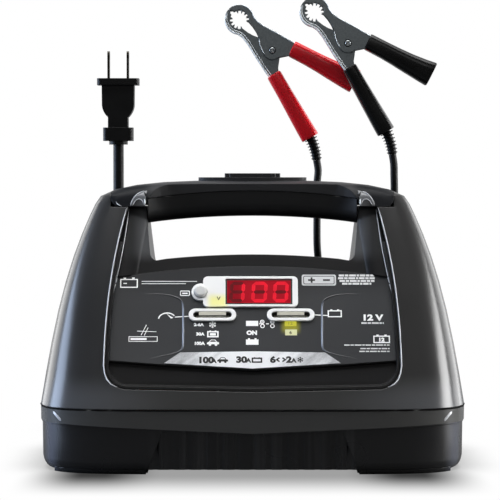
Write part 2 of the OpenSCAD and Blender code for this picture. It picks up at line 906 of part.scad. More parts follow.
module power_board() {
    color("#1f5a34") difference() {
        translate([power_x, power_y, power_z]) linear_extrude(1.6)
            rounded_rect(power_size[0], power_size[1], 2);
        translate([power_x, power_y, power_z])
            four_corners(power_size[0] / 2 - 5, power_size[1] / 2 - 5) cylinder(r = 1.7, h = 8, center = true);
    }
    color(steel) translate([power_x, power_y, floor_top])
        four_corners(power_size[0] / 2 - 5, power_size[1] / 2 - 5) {
            cylinder(r = 3, h = power_z - floor_top, $fn = 6);
            cylinder(r = 1.5, h = power_z - floor_top + 4);
        }
}

module capacitors() {
    color("#27305c") for (i = [0 : 2])
        translate([18, -22 + i * 21, power_z + 1.6]) {
            cylinder(r = 8.5, h = 30);
            translate([0, 0, 30]) cylinder(r1 = 8.5, r2 = 7.7, h = 0.8);
        }
}

module relay() {
    color("#2a2c30") translate([12, 42, power_z + 1.6]) {
        cube([24, 16, 22]);
        translate([2, 2, 22]) cube([20, 12, 1.2]);
    }
}

sink_x = 40;
sink_y = -34;
sink_l = 62;
sink_h = 42;

module heat_sink() {
    color("#9da1a4") translate([sink_x, sink_y, power_z + 1.6]) {
        cube([4, sink_l, sink_h]);
        for (i = [0 : fins - 1])
            translate([4 - eps, i * (sink_l - 2) / (fins - 1), 0]) cube([22, 2, sink_h]);
    }
}

module rectifiers() {
    color("#202124") for (i = [0 : 3])
        translate([sink_x - 4.9, sink_y + 5 + i * 15, power_z + 9]) {
            cube([4.8, 10, 15]);
            translate([1.2, 1, 15 - eps]) cube([3.6, 8, 5]);
            for (p = [2, 5, 8]) translate([2, p - 0.4, -7.4]) cube([0.8, 0.8, 7.5]);
        }
}

fan_x = 92;
fan_z = floor_top + 40 + fan_w / 2;
hub_r = 13;
spindle_r = 1.5;

module fan_frame() {
    color("#232325") translate([fan_x, 0, 0]) {
        along_x(0, fan_t) difference() {
            translate([0, fan_z]) rounded_rect(fan_w, fan_w, 3);
            translate([0, fan_z]) circle(r = fan_w / 2 - 2);
            for (sy = [-1, 1], sz = [-1, 1])
                translate([sy * (fan_w / 2 - 5), fan_z + sz * (fan_w / 2 - 5)]) circle(r = 2.2);
        }
        along_x(0, 2) {
            translate([0, fan_z]) circle(r = hub_r);
            for (a = [45 : 90 : 315]) translate([0, fan_z]) rotate(a)
                translate([0, -2]) square([fan_w / 2 - 1, 4]);
        }
        along_x(2 - eps, fan_t - 3) translate([0, fan_z]) circle(r = spindle_r);
        for (s = [-1, 1]) translate([0, s * (fan_w / 2 - 4) - 4, floor_top])
            cube([fan_t, 8, fan_z - fan_w / 2 - floor_top + 1]);
    }
}

module fan_rotor() {
    color("#2e2e31") translate([fan_x + 2.6, 0, 0]) {
        difference() {
            along_x(0, fan_t - 3.4) translate([0, fan_z]) circle(r = hub_r - 0.5);
            along_x(-1, fan_t - 5) translate([0, fan_z]) circle(r = spindle_r + 0.06);
        }
        translate([(fan_t - 4) / 2, 0, fan_z]) rotate([0, 90, 0])
            for (i = [0 : fan_blades - 1]) rotate(i * 360 / fan_blades)
                translate([hub_r - 1.5, 0, 0]) rotate([32, 0, 0])
                    translate([0, -8, -0.6]) cube([fan_w / 2 - hub_r - 1.6, 16, 1.2]);
    }
}

module circuit_breaker() {
    color("#d0cdbf") translate([60, 66, floor_top + 6]) {
        cube([26, 8, 14]);
        for (x = [3, 18]) translate([x, 2, 14 - eps]) cube([5, 0.8, 8]);
        for (x = [0, 22]) translate([x, 1, -6]) cube([4, 6, 6 + eps]);
    }
}

// ---------- strain reliefs on the back of the tray ----------

gland_z = 19;
mains_gland_x = -41;
red_gland_x = -24;
black_gland_x = 57;
gland_places = [mains_gland_x, red_gland_x, black_gland_x];
mains_neck_r = mains_d / 2 + 2.3;
lead_neck_r = lead_d / 2 + 2;
mains_relief_l = 32;
lead_relief_l = 16;
flange_rim = 2;
flange_t = 2.2;
cord_socket = 3;

// Bush gripped between two flanges in the tray's back wall, with a tapering sleeve behind it
module strain_relief(x, neck_r, cord_d, length) {
    flange_r = neck_r + flange_rim;
    skirt_in = skirt_step + skirt_draft * (seam_z - gland_z - flange_r) / seam_z;
    inside = plan_depth(tray_half_w, tray_half_d, abs(x) + flange_r) - 0.15;
    outside = plan_depth(case_w / 2 - skirt_in, case_d / 2 - skirt_in, abs(x) - flange_r) + 0.1;
    end = case_d / 2 + length;
    taper = end - outside - flange_t;
    translate([x, 0, gland_z]) rotate([-90, 0, 0]) difference() {
        union() {
            translate([0, 0, inside - flange_t]) cylinder(r = flange_r, h = flange_t);
            translate([0, 0, inside - eps]) cylinder(r = neck_r - 0.1, h = outside - inside + 2 * eps);
            translate([0, 0, outside]) cylinder(r = flange_r, h = flange_t);
            translate([0, 0, end - taper]) cylinder(r1 = neck_r, r2 = cord_d / 2 + 0.9, h = taper);
            for (i = [0 : 3]) translate([0, 0, outside + 5 + i * (length - 8) / 4])
                cylinder(r = neck_r - 0.1 - i * 0.45, h = 1.6);
        }
        translate([0, 0, end - cord_socket]) cylinder(r = cord_d / 2 + 0.15, h = 10);
    }
}

module mains_strain_relief() {
    color("#141414") strain_relief(mains_gland_x, mains_neck_r, mains_d, mains_relief_l);
}

module lead_grommets() {
    color("#141414") for (x = [red_gland_x, black_gland_x])
        strain_relief(x, lead_neck_r, lead_d, lead_relief_l);
}

// ---------- where the clamps stand ----------

clamp_angle = 136.7;
red_rivet = [13.2, 50, 266.2];
black_rivet = [62.7, 31, 270];
jaw_gap = 0.3;
plate_gap = 0.3;
free_arm_half = lead_arm_half + steel_t + plate_gap;
tail_w = 7.4;
tail_end = 48;
rivet_r = 2;
// Where each grip starts and ends along its tail
lead_grip_from = 12;
lead_grip_to = 61;
free_grip_from = 9;
free_grip_to = 56.5;
grip_sides = 28;
grip_power = 3.6;
boot_r = 2.8;
boot_rib_r = 4.3;
boot_ribs = 7;
boot_rings = 6;
boot_in = 3.6;
// Places of the ribs, as shares of the boot's length
boot_first_rib = 0.24;
boot_rib_step = 0.117;
boot_l = 19;
boot_turn = 24;
// The boot leaves the grip along the tail and bends down towards the lead
boot_start_angle = clamp_angle + 180 - arm_angle;

// ---------- leads: round tubes swept along routes, and coils by formula ----------

function unit(v) = v / norm(v);
function tangent(p, i) = unit(p[min(i + 1, len(p) - 1)] - p[max(i - 1, 0)]);

// Rings of a round tube along a route. The side vector keeps the rings from twisting.
function tube_rings(route, r, sides, side_vector) = [for (i = [0 : len(route) - 1])
    let (t = tangent(route, i), u = unit(cross(side_vector, t)), v = cross(t, u))
    [for (k = [0 : sides - 1]) let (a = 360 * k / sides) route[i] + r * (cos(a) * u + sin(a) * v)]];

coil_rings = 24;
coil_sides = 6;
coil_layers = 2;
tie_t = 0.8;
tie_clear = 0.3;
mains_pitch = mains_d + 0.6;
lead_pitch = lead_d + 0.6;
mains_mean_r = 36.5;
lead_mean_r = 28;

// Triangle wave that goes from 1 to 0 and back, once in two layers
function to_and_fro(s) = abs(1 - (s - 2 * floor(s / 2)));

// How many layers the cord has come down, each step taking the half turn round a reversal
function layers_down(t, per_layer) = let (k = floor(t / per_layer + 0.5), d = t - k * per_layer)
    k == 0 ? 0 : k == coil_layers ? coil_layers - 1
    : (k - 1) + (abs(d) > 0.25 ? (d > 0 ? 1 : 0) : 0.5 + d / 0.5);

// Height of the middle of a coil's lowest turns, which lie on the ties
function coil_foot(d) = d / 2 + tie_t + tie_clear;

// One point of a piled coil after t turns
function coil_point(t, turns, d, mean_r) = let (
    per_layer = turns / coil_layers, pitch = d + 0.6, span = per_layer * pitch,
    r = mean_r + span * (to_and_fro(t / per_layer) - 0.5), a = 360 * t)
    [r * cos(a), r * sin(a), coil_foot(d) + pitch * (coil_layers - 1 - layers_down(t, per_layer))];

function coil_outer(turns, d, mean_r) = mean_r + turns / coil_layers * (d + 0.6) / 2;

// Whole route of a coil: it starts at angle 0 in the top layer and both ends run straight
function coil_route(turns, d, mean_r) = let (
    n = round(turns * coil_rings), r = coil_outer(turns, d, mean_r))
    concat([[r, -d, coil_foot(d) + (coil_layers - 1) * (d + 0.6)]],
        [for (i = [0 : n]) coil_point(i / coil_rings, turns, d, mean_r)],
        [[-r, -d, coil_foot(d)]]);

coil_y = 190;
lead_coil_y = 166;
mains_coil_x = -90;
red_coil_x = 13;
black_coil_x = 94;

// The coil's route in its place; side is 1 where it starts at its right and -1 at its left
function placed_coil(turns, d, mean_r, x, y, side) = [for (p = coil_route(turns, d, mean_r))
    [x + side * p[0], y + p[1], p[2]]];

mains_coil_route = placed_coil(mains_turns, mains_d, mains_mean_r, mains_coil_x, coil_y, 1);
red_coil_route = placed_coil(lead_turns, lead_d, lead_mean_r, red_coil_x, lead_coil_y, -1);
black_coil_route = placed_coil(lead_turns, lead_d, lead_mean_r, black_coil_x, lead_coil_y, -1);

// Least distance between two stretches of a coil that are well apart along it, less d
function self_gap(p, d) = min([for (i = [0 : len(p) - 1])
    min(concat([1000], [for (j = [i + 9 : len(p) - 1]) norm(p[i] - p[j])]))]) - d;

function measure(p) = let (steps = [for (i = [1 : len(p) - 1]) norm(p[i] - p[i - 1])])
    steps * [for (s = steps) 1];

module coil_tube(route, d) {
    skin(tube_rings(route, d / 2, coil_sides, [0, 0, 1]));
}

module free_tube(route, d) {
    skin(tube_rings(route, d / 2, 8, [1, 0, 0]));
}

// From each strain relief down to the start of its coil
mains_out = [[-41, 127, 19], [-41, 136, 19], [-41, 143, 18.6], [-41, 150, 17.3], [-41, 157, 15.5],
    [-41, 164, 13.7], [-41, 171, 12.5]];
red_out = [[-24, 111, 19], [-24, 117, 19], [-24, 124, 18.2], [-24, 131, 16.1], [-24, 138, 13.3],
    [-24, 145, 10.8], [-24, 151, 9.5]];
black_out = [[57, 111, 19], [57, 117, 19], [57, 124, 18.2], [57, 131, 16.1], [57, 138, 13.3],
    [57, 145, 10.8], [57, 151, 9.5]];

// From the end of each coil along the bench and up the back of the case
mains_up = [[-138.5, 166, 4.1], [-137.5, 157, 3.6], [-135.5, 148, 3.6], [-133, 140, 3.6],
    [-130.5, 133, 3.7], [-128, 126, 5], [-125.5, 119, 8], [-123.5, 113, 12.8], [-122, 108, 19],
    [-120.5, 102.5, 28.5], [-118.5, 96, 39.5], [-116, 88.4, 51.5], [-113, 79.7, 64.5],
    [-110, 72.6, 78], [-106.5, 65.2, 94], [-103, 57.5, 110], [-99, 49.7, 126], [-95, 42.8, 140],
    [-92.3, 39, 148], [-89.8, 36.6, 154], [-88.7, 35.5, 160], [-88.7, 35.5, 168],
    [-88.7, 35.5, 178], [-88.7, 35.5, 188]];
red_up = [[50, 147, 3.1], [50, 139, 2.6], [49.5, 131, 2.6], [49, 123.5, 3.6], [48.5, 116.5, 6.3],
    [48.3, 110.5, 10.8], [48, 105.8, 17], [47.8, 102.2, 24.5], [47.6, 100, 33], [47.4, 97.6, 42],
    [47, 90.8, 54], [46.5, 82.3, 70], [46, 73.8, 86], [45.5, 65.3, 102], [44.8, 57.4, 117],
    [44, 52.3, 127.5], [43.4, 50.4, 135], [43.2, 50, 142], [43.2, 50, 156], [43.1, 50, 168],
    [43.1, 50, 174], [43.4, 50, 180]];
black_up = [[131, 147, 3.2], [130, 139, 2.6], [128.5, 131, 2.6], [126.5, 123, 2.6],
    [124.5, 115.5, 3.2], [122.5, 108.5, 5.4], [121, 102.5, 9.5], [119.8, 97.5, 15.5],
    [118.7, 93.8, 23], [117.7, 90.8, 31.5], [116.8, 88.2, 41], [114.5, 82.2, 54],
    [111.5, 74.9, 70], [108.5, 67.4, 86], [105.5, 59.7, 102], [102, 52, 118], [98.5, 44.1, 134],
    [96, 38.1, 146], [94.4, 33.9, 154], [93.9, 32.4, 160], [93.9, 32.4, 169], [93.8, 31.9, 177],
    [93.6, 31.4, 184]];

function start_of(p) = p[0];
function end_of(p) = p[len(p) - 1];

// A stretch that meets the coil in line with the coil's own straight end
function into(coil, step) = [start_of(coil) + [0, -step, 0], start_of(coil)];
function out_of(coil, step) = [end_of(coil), end_of(coil) + [0, -step, 0]];

mains_plug_z = 203.5;
mains_out_route = concat([[mains_gland_x, case_d / 2 + mains_relief_l - cord_socket, gland_z]],
    mains_out, into(mains_coil_route, 6));
mains_up_route = concat(out_of(mains_coil_route, 8), mains_up,
    [[mains_up_x, mains_up_y, mains_plug_z]]);
red_out_route = concat([[red_gland_x, case_d / 2 + lead_relief_l - cord_socket, gland_z]],
    red_out, into(red_coil_route, 5));
red_up_route = concat(out_of(red_coil_route, 6), red_up, boot_foot(red_rivet));
black_out_route = concat([[black_gland_x, case_d / 2 + lead_relief_l - cord_socket, gland_z]],
    black_out, into(black_coil_route, 5));
black_up_route = concat(out_of(black_coil_route, 6), black_up, boot_foot(black_rivet));

module mains_cord() {
    color("#151515") {
        free_tube(mains_out_route, mains_d);
        free_tube(mains_up_route, mains_d);
    }
}

module red_lead() {
    color("#151515") {
        free_tube(red_out_route, lead_d);
        free_tube(red_up_route, lead_d);
    }
}

module black_lead() {
    color("#151515") {
        free_tube(black_out_route, lead_d);
        free_tube(black_up_route, lead_d);
    }
}

module mains_coil() {
    color("#151515") coil_tube(mains_coil_route, mains_d);
}

module red_coil() {
    color("#151515") coil_tube(red_coil_route, lead_d);
}

module black_coil() {
    color("#151515") coil_tube(black_coil_route, lead_d);
}

// A flat tie round the piled turns, standing across them at the back of the coil
module coil_tie(x, y, d, turns, mean_r) {
    per_layer = turns / coil_layers;
    pitch = d + 0.6;
    w = per_layer * pitch + d + 2 * tie_clear;
    h = (coil_layers - 1) * pitch + d + 2 * tie_clear;
    translate([x, y + mean_r, tie_t + h / 2]) along_x(-3.5, 3.5) difference() {
        rounded_rect(w + 2 * tie_t, h + 2 * tie_t, 2 + tie_t);
        rounded_rect(w, h, 2);
    }
}

module coil_ties() {
    color("#202020") {
        coil_tie(mains_coil_x, coil_y, mains_d, mains_turns, mains_mean_r);
        coil_tie(red_coil_x, lead_coil_y, lead_d, lead_turns, lead_mean_r);
        coil_tie(black_coil_x, lead_coil_y, lead_d, lead_turns, lead_mean_r);
    }
}

// ---------- mains plug ----------

plug_t = 16;
blade = [1.5, 6.35, 18];
plug_flange_z = mains_plug_z + 39.2;

module plug_body() {
    color("#121212") translate([mains_up_x, mains_up_y, 0]) difference() {
        union() {
            translate([0, 0, mains_plug_z]) cylinder(r = 6.2, h = 3);
            translate([0, 0, mains_plug_z + 2.4]) linear_extrude(8.8) rounded_rect(19.8, plug_t, 3);
            along_y(-plug_t / 2 + 1, plug_t / 2 - 1) polygon(concat(
                [[-6.6, mains_plug_z + 11], [6.6, mains_plug_z + 11]],
                arc(-1.6, mains_plug_z + 27, 12.2, -48, -6), [[10.7, plug_flange_z + 1]],
                [[-10.7, plug_flange_z + 1]], arc(1.6, mains_plug_z + 27, 12.2, 186, 228)));
            translate([0, 0, plug_flange_z]) linear_extrude(4.4) rounded_rect(27.6, plug_t + 2, 3);
        }
        for (s = [-1, 1]) translate([s * blade_pitch / 2, 0, plug_flange_z - 6])
            cube([blade[0] + 0.02, blade[1] + 0.02, 30], center = true);
    }
}

module plug_blades() {
    color("#c8b273") translate([mains_up_x, mains_up_y, 0])
        for (s = [-1, 1]) translate([s * blade_pitch / 2, 0, 0]) difference() {
            along_x(-blade[0] / 2, blade[0] / 2) polygon(concat(
                [[-blade[1] / 2, plug_flange_z - 20], [blade[1] / 2, plug_flange_z - 20]],
                [[blade[1] / 2, plug_flange_z + 4.4 + blade[2] - 2]],
                arc(blade[1] / 2 - 2, plug_flange_z + 4.4 + blade[2] - 2, 2, 0, 90),
                arc(2 - blade[1] / 2, plug_flange_z + 4.4 + blade[2] - 2, 2, 90, 180)));
            translate([0, 0, plug_flange_z + 4.4 + blade[2] - 3.6]) rotate([0, 90, 0])
                cylinder(r = 1.6, h = 4, center = true);
        }
}

// ---------- spring clamps ----------
// Each clamp has its own frame: origin on the rivet, X towards the jaws, Y across the jaws,
// Z along the rivet. The free arm is the one on the +Y side.

module at_clamp(rivet) {
    translate(rivet) rotate([90, 0, 0]) rotate(clamp_angle) mirror([0, 1, 0]) children();
}

// A point of a clamp's own frame in the charger's frame
function clamp_point(rivet, p) = rivet + [p[0] * cos(clamp_angle) + p[1] * sin(clamp_angle), 0,
    p[0] * sin(clamp_angle) - p[1] * cos(clamp_angle)];

// A point along an arm's tail: a distance back from the rivet and one across the tail
function tail_point(back, across) = [
    -back * cos(arm_angle) + across * sin(arm_angle),
    10 + (back - 8) * sin(arm_angle) + across * cos(arm_angle) - 0.4];

// Side plate of an arm: half of the head, the cheek round the rivet and the tail
module arm_plate() {
    difference() {
        union() {
            circle(r = 6.2);
            intersection() {
                translate([head_reach, 0]) circle(r = head_r);
                translate([0, jaw_gap / 2]) square([80, 40]);
            }
            polygon([[head_reach - 1, jaw_gap / 2], [head_reach - 6, head_r - 1.9],
                [head_reach - 9.5, 7.4], [15, 8.2], [4, 11.2], tail_point(9, 4.2),
                tail_point(12, tail_w / 2), tail_point(tail_end, tail_w / 2),
                tail_point(tail_end, -tail_w / 2), tail_point(12, -tail_w / 2),
                tail_point(10, -4.6), [-6.4, -0.6], [-4.6, -3.9], [-1.5, -6], [1.6, -6.1],
                [4.4, -4.9], [7.7, -3.1], [11.4, -1.2], [12.6, jaw_gap / 2]]);
        }
        jaw_mouth();
    }
}

// Half of the opening between the jaws, with its teeth
module jaw_mouth() {
    difference() {
        translate([head_reach, 0]) circle(r = mouth_r);
        for (i = [0 : teeth - 1]) let (a = 34 + i * 112 / (teeth - 1))
            translate([head_reach, 0]) rotate(a)
                polygon([[mouth_r + 1, -1.1], [mouth_r + 1, 1.1], [mouth_r - 1.9, 0]]);
    }
    polygon([[head_reach - mouth_r + 1, -3], [head_reach - mouth_r + 1, 3], [20, 2.5], [16, 1.5],
        [12.8, jaw_gap / 2 + 0.01], [12.8, -3]]);
    translate([head_reach + mouth_r + 0.4, 0]) circle(r = 1.3);
}

// The bent edge that joins the two side plates along the arm's back
module arm_back() {
    difference() {
        arm_plate();
        translate([0, -steel_t * 1.15]) polygon([[head_reach - 6, -5], [head_reach - 6, head_r - 1.9],
            [head_reach - 9.5, 7.4], [15, 8.2], [4, 11.2], tail_point(9, 4.2),
            tail_point(12, tail_w / 2), tail_point(60, tail_w / 2), [-80, -30], [60, -30], [60, -5]]);
        translate([head_reach, 0]) circle(r = head_r - steel_t);
        translate([head_reach - 7, -20]) square([80, 21.5]);
    }
}

module clamp_arm(half) {
    difference() {
        union() {
            for (s = [-1, 1]) translate([0, 0, s > 0 ? half - steel_t : -half])
                linear_extrude(steel_t) arm_plate();
            translate([0, 0, -half]) linear_extrude(2 * half) arm_back();
        }
        cylinder(r = rivet_r + 0.06, h = 60, center = true);
    }
}

// Sections of a grip along its tail: how far along, how far it reaches on the back's side and on
// the inner side, and how much thinner it is than at its middle
lead_grip_sections = [[0, 4.6, 4.6, 0.5], [0.02, 5, 5, 0], [0.3, 5.2, 5.1, 0], [0.6, 5.7, 5.4, 0],
    [0.85, 6.1, 5.7, 0], [0.985, 6.2, 5.9, 0], [1, 5.9, 5.6, 0.4]];
free_grip_sections = [[0, 5.2, 5.2, 0.5], [0.02, 5.6, 5.6, 0], [0.25, 5.6, 5.8, 0], [0.45, 5.7, 6.4, 0],
    [0.65, 6.1, 7.3, 0], [0.85, 7, 8.1, 0], [0.985, 7.9, 8.5, 0], [1, 7.6, 8.2, 0.4]];

// Vinyl grip over a tail, its section a rounded rectangle, with a pocket for the steel
module clamp_grip(half, from, to, sections) {
    difference() {
        skin([for (s = sections) let (back = from + (to - from) * s[0], middle = (s[1] - s[2]) / 2,
            across = (s[1] + s[2]) / 2, thick = grip_t / 2 - s[3])
            [for (k = [0 : grip_sides - 1]) let (a = 360 * (k + 0.5) / grip_sides, p = tail_point(back,
                middle + across * sign(cos(a)) * pow(abs(cos(a)), 2 / grip_power)))
                [p[0], p[1], -thick * sign(sin(a)) * pow(abs(sin(a)), 2 / grip_power)]]]);
        linear_extrude(2 * half + 0.1, center = true) polygon([tail_point(3, 6.5),
            tail_point(9, 4.26), tail_point(12, tail_w / 2 + 0.05),
            tail_point(tail_end + 0.1, tail_w / 2 + 0.05),
            tail_point(tail_end + 0.1, -tail_w / 2 - 0.05),
            tail_point(12, -tail_w / 2 - 0.05), tail_point(10, -4.66), [-6.5, -0.7], [0, -6]]);
    }
}

// Wire of the torsion spring: two and a bit turns round the rivet, its legs against both backs
spring_wire_r = 0.8;
spring_r = 4.2;
spring_pitch = 2.2;
spring_leg = 13.6;
spring_leg_angle = 35;
spring_rings = 12;
spring_turns = 2 + 2 * (90 - spring_leg_angle) / 360;
spring_coil = [for (i = [0 : round(spring_turns * spring_rings)])
    let (t = i / round(spring_turns * spring_rings), a = (t - 0.5) * spring_turns * 360)
    [spring_r * cos(a), spring_r * sin(a), (t - 0.5) * spring_turns * spring_pitch]];
spring_out = [-cos(spring_leg_angle), sin(spring_leg_angle), 0];
spring_route = concat(
    [for (m = [spring_leg, spring_leg / 3]) start_of(spring_coil) + m * [spring_out[0], -spring_out[1], 0]],
    spring_coil, [for (m = [spring_leg / 3, spring_leg]) end_of(spring_coil) + m * spring_out]);

module clamp_spring() {
    skin(tube_rings(spring_route, spring_wire_r, 6, [0, 0, 1]));
}

module lead_arm(rivet) {
    at_clamp(rivet) mirror([0, 1, 0]) clamp_arm(lead_arm_half);
}

module free_arm(rivet) {
    at_clamp(rivet) clamp_arm(free_arm_half);
}

module lead_grip(rivet) {
    at_clamp(rivet) mirror([0, 1, 0]) difference() {
        clamp_grip(lead_arm_half, lead_grip_from, lead_grip_to, lead_grip_sections);
        translate(concat(tail_point(lead_grip_to, 0), 0)) rotate([0, 90, 180 - arm_angle])
            cylinder(r = boot_r + 0.1, h = 8, center = true);
    }
}

module free_grip(rivet) {
    at_clamp(rivet) clamp_grip(free_arm_half, free_grip_from, free_grip_to, free_grip_sections);
}

module clamp_rivets() {
    color("#9aa0a0") for (r = [red_rivet, black_rivet]) at_clamp(r) {
        cylinder(r = rivet_r, h = 2 * free_arm_half + 1, center = true);
        for (s = [-1, 1]) translate([0, 0, s * (free_arm_half + 0.65)])
            cylinder(r = 3.2, h = 1.2, center = true);
    }
}

// ---------- ribbed boots between lead and clamp ----------

function boot_path(rivet, t) = let (
    inside = tail_point(lead_grip_to - boot_in, 0),
    start = clamp_point(rivet, [inside[0], -inside[1]]),
    radius = boot_l / (boot_turn * PI / 180), a0 = boot_start_angle, a1 = a0 - boot_turn * t)
    start + radius * [sin(a0) - sin(a1), 0, cos(a1) - cos(a0)];

// The lead's last two points, in line with the boot's own last stretch
function boot_foot(rivet) = let (foot = boot_path(rivet, 1))
    [foot + 7 * unit(foot - boot_path(rivet, 1 - 1 / boot_rings)), foot];

module boot(rivet) {
    skin(tube_rings([for (i = [0 : boot_rings]) boot_path(rivet, i / boot_rings)], boot_r, 12,
        [0, 1, 0]));
    for (i = [0 : boot_ribs - 1]) let (t = boot_first_rib + i * boot_rib_step,
            a = boot_start_angle - boot_turn * t)
        translate(boot_path(rivet, t)) rotate([0, 90 - a, 0])
            cylinder(r = boot_rib_r - i * 0.14, h = 0.9, center = true, $fn = 24);
}

module lead_boots() {
    color("#131313") {
        boot(red_rivet);
        boot(black_rivet);
    }
}

module red_lead_arm() {
    color(steel) lead_arm(red_rivet);
}

module red_free_arm() {
    color(steel) free_arm(red_rivet);
}

module red_lead_grip() {
    color(red_vinyl) lead_grip(red_rivet);
}

module red_free_grip() {
    color(red_vinyl) free_grip(red_rivet);
}

module red_spring() {
    color("#8d9292") at_clamp(red_rivet) clamp_spring();
}

module black_lead_arm() {
    color(steel) lead_arm(black_rivet);
}

module black_free_arm() {
    color(steel) free_arm(black_rivet);
}

module black_lead_grip() {
    color(jet) lead_grip(black_rivet);
}

module black_free_grip() {
    color(jet) free_grip(black_rivet);
}

module black_spring() {
    color("#8d9292") at_clamp(black_rivet) clamp_spring();
}

echo(mains_coil_gap = self_gap(mains_coil_route, mains_d));
echo(lead_coil_gap = self_gap(red_coil_route, lead_d));
echo(spring_gap = self_gap(spring_route, 2 * spring_wire_r));
echo(mains_length = measure(mains_out_route) + measure(mains_coil_route) + measure(mains_up_route));
echo(red_length = measure(red_out_route) + measure(red_coil_route) + measure(red_up_route));
echo(black_length = measure(black_out_route) + measure(black_coil_route) + measure(black_up_route));

base_tray();
rubber_feet();
case_screws();
upper_housing();
front_fascia();
handle_cover();
handle_grip();
cord_clips();
panel_label();
rating_strip();
display_bezel();
display_window();
key_surrounds();
display_button();
rate_key();
type_key();
control_board();
digit_display();
key_switches();
indicator_leds();
board_screws();
power_board();
capacitors();
relay();
heat_sink();
rectifiers();
transformer_core();
transformer_bobbin();
transformer_winding();
transformer_bolts();
fan_frame();
fan_rotor();
circuit_breaker();
mains_strain_relief();
lead_grommets();
mains_cord();
mains_coil();
red_lead();
red_coil();
black_lead();
black_coil();
coil_ties();
plug_body();
plug_blades();
lead_boots();
clamp_rivets();
red_lead_arm();
red_lead_grip();
red_spring();
red_free_arm();
red_free_grip();
black_lead_arm();
black_lead_grip();
black_spring();
black_free_arm();
black_free_grip();
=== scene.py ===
"""Bench battery charger with its mains lead and two clamp leads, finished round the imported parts.

Every piece is in metres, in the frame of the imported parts. Measured lists are in millimetres.
"""

import json
import math

import bmesh
import bpy
from bpy.props import FloatProperty, FloatVectorProperty, IntProperty, PointerProperty
from mathutils import Matrix, Vector
from mathutils.bvhtree import BVHTree

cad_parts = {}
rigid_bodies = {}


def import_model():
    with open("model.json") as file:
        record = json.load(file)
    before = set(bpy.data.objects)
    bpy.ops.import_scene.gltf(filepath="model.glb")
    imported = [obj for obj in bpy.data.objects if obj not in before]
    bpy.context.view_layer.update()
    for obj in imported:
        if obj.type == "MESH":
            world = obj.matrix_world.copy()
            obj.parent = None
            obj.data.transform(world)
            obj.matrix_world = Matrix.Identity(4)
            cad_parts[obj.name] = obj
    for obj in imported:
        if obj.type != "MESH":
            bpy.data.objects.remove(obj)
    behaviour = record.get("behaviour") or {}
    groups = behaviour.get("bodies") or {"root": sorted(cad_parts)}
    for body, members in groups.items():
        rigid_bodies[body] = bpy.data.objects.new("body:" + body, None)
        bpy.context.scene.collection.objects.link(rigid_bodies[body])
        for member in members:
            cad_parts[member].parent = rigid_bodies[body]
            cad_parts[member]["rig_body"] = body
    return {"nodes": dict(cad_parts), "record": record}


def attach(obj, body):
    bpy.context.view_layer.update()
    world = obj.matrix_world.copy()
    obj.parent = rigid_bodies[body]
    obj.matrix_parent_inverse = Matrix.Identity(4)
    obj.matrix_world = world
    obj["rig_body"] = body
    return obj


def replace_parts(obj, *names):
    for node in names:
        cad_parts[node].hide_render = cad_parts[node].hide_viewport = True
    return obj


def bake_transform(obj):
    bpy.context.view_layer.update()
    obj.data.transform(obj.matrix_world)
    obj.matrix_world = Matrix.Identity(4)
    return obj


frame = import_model()

bl_info = {
    "name": "Battery charger",
    "version": (1, 0, 0),
    "blender": (4, 5, 0),
    "location": "View3D > Sidebar > Charger",
    "description": "Builds the finish, leads and printed panel of a bench battery charger",
    "category": "Add Mesh",
}

MM = 0.001

# The sloping panel's own frame: X across, Y up the slope, Z out of the panel
FACE_LEAN = math.radians(28)
PANEL_Z = 63.5
PANEL_Y = -(95 - (PANEL_Z - 40) * math.tan(FACE_LEAN)) + 9 / math.cos(FACE_LEAN)
LABEL_TOP = 2.5
STRIP_TOP = 2.9
WINDOW_TOP = 3.6
TRIM_TOP = 4.1

# The tray's seam, then its V line: height at the middle, climb, and how far out the climb ends
SEAM_Z = 40
BAND_Z = 25.4
BAND_RISE = 5.2
V_END = 134 - 18

# The clamps' own frame: X towards the jaws, Y across them, Z along the rivet
CLAMP_ANGLE = math.radians(136.7)
RIVETS = {"red": (13.2, 50, 266.2), "black": (62.7, 31, 270)}
RIVET_HALF = 6.6
ARM_ANGLE = math.radians(16.5)
LEAD_GRIP_TO = 61
BOOT_IN = 3.6
BOOT_LENGTH = 19
BOOT_TURN = math.radians(24)


# ---------- helpers ----------


def linear(code):
    """The linear colour of an sRGB hex value."""
    parts = [int(code[i : i + 2], 16) / 255 for i in (1, 3, 5)]
    return [c / 12.92 if c <= 0.04045 else ((c + 0.055) / 1.055) ** 2.4 for c in parts] + [1.0]


def panel_matrix(up=0.0):
    """From panel millimetres to the charger's frame in metres."""
    place = Matrix.Translation(Vector((0, PANEL_Y, PANEL_Z)) * MM)
    turn = Matrix.Rotation(math.pi / 2 - FACE_LEAN, 4, "X")
    return place @ turn @ Matrix.Scale(MM, 4) @ Matrix.Translation((0, 0, up))


def clamp_matrix(colour):
    """From a clamp's own millimetres to the charger's frame in metres."""
    c, s = math.cos(CLAMP_ANGLE), math.sin(CLAMP_ANGLE)
    axes = Matrix(((c, s, 0, 0), (0, 0, 1, 0), (s, -c, 0, 0), (0, 0, 0, 1)))
    return Matrix.Translation(Vector(RIVETS[colour]) * MM) @ Matrix.Scale(MM, 4) @ axes


def put(tree, node, **inputs):
    """Values and links on a shader node. An input is named, or numbered as i0."""
    for key, value in inputs.items():
        numbered = key[0] == "i" and key[1:].isdigit()
        socket = node.inputs[int(key[1:]) if numbered else key.replace("_", " ")]
        if isinstance(value, bpy.types.NodeSocket):
            tree.links.new(value, socket)
        else:
            socket.default_value = value


def add(tree, kind, settings=None, **inputs):
    """A shader node with its settings, values and links."""
    made = tree.nodes.new(kind)
    for key, value in (settings or {}).items():
        setattr(made, key, value)
    put(tree, made, **inputs)
    return made


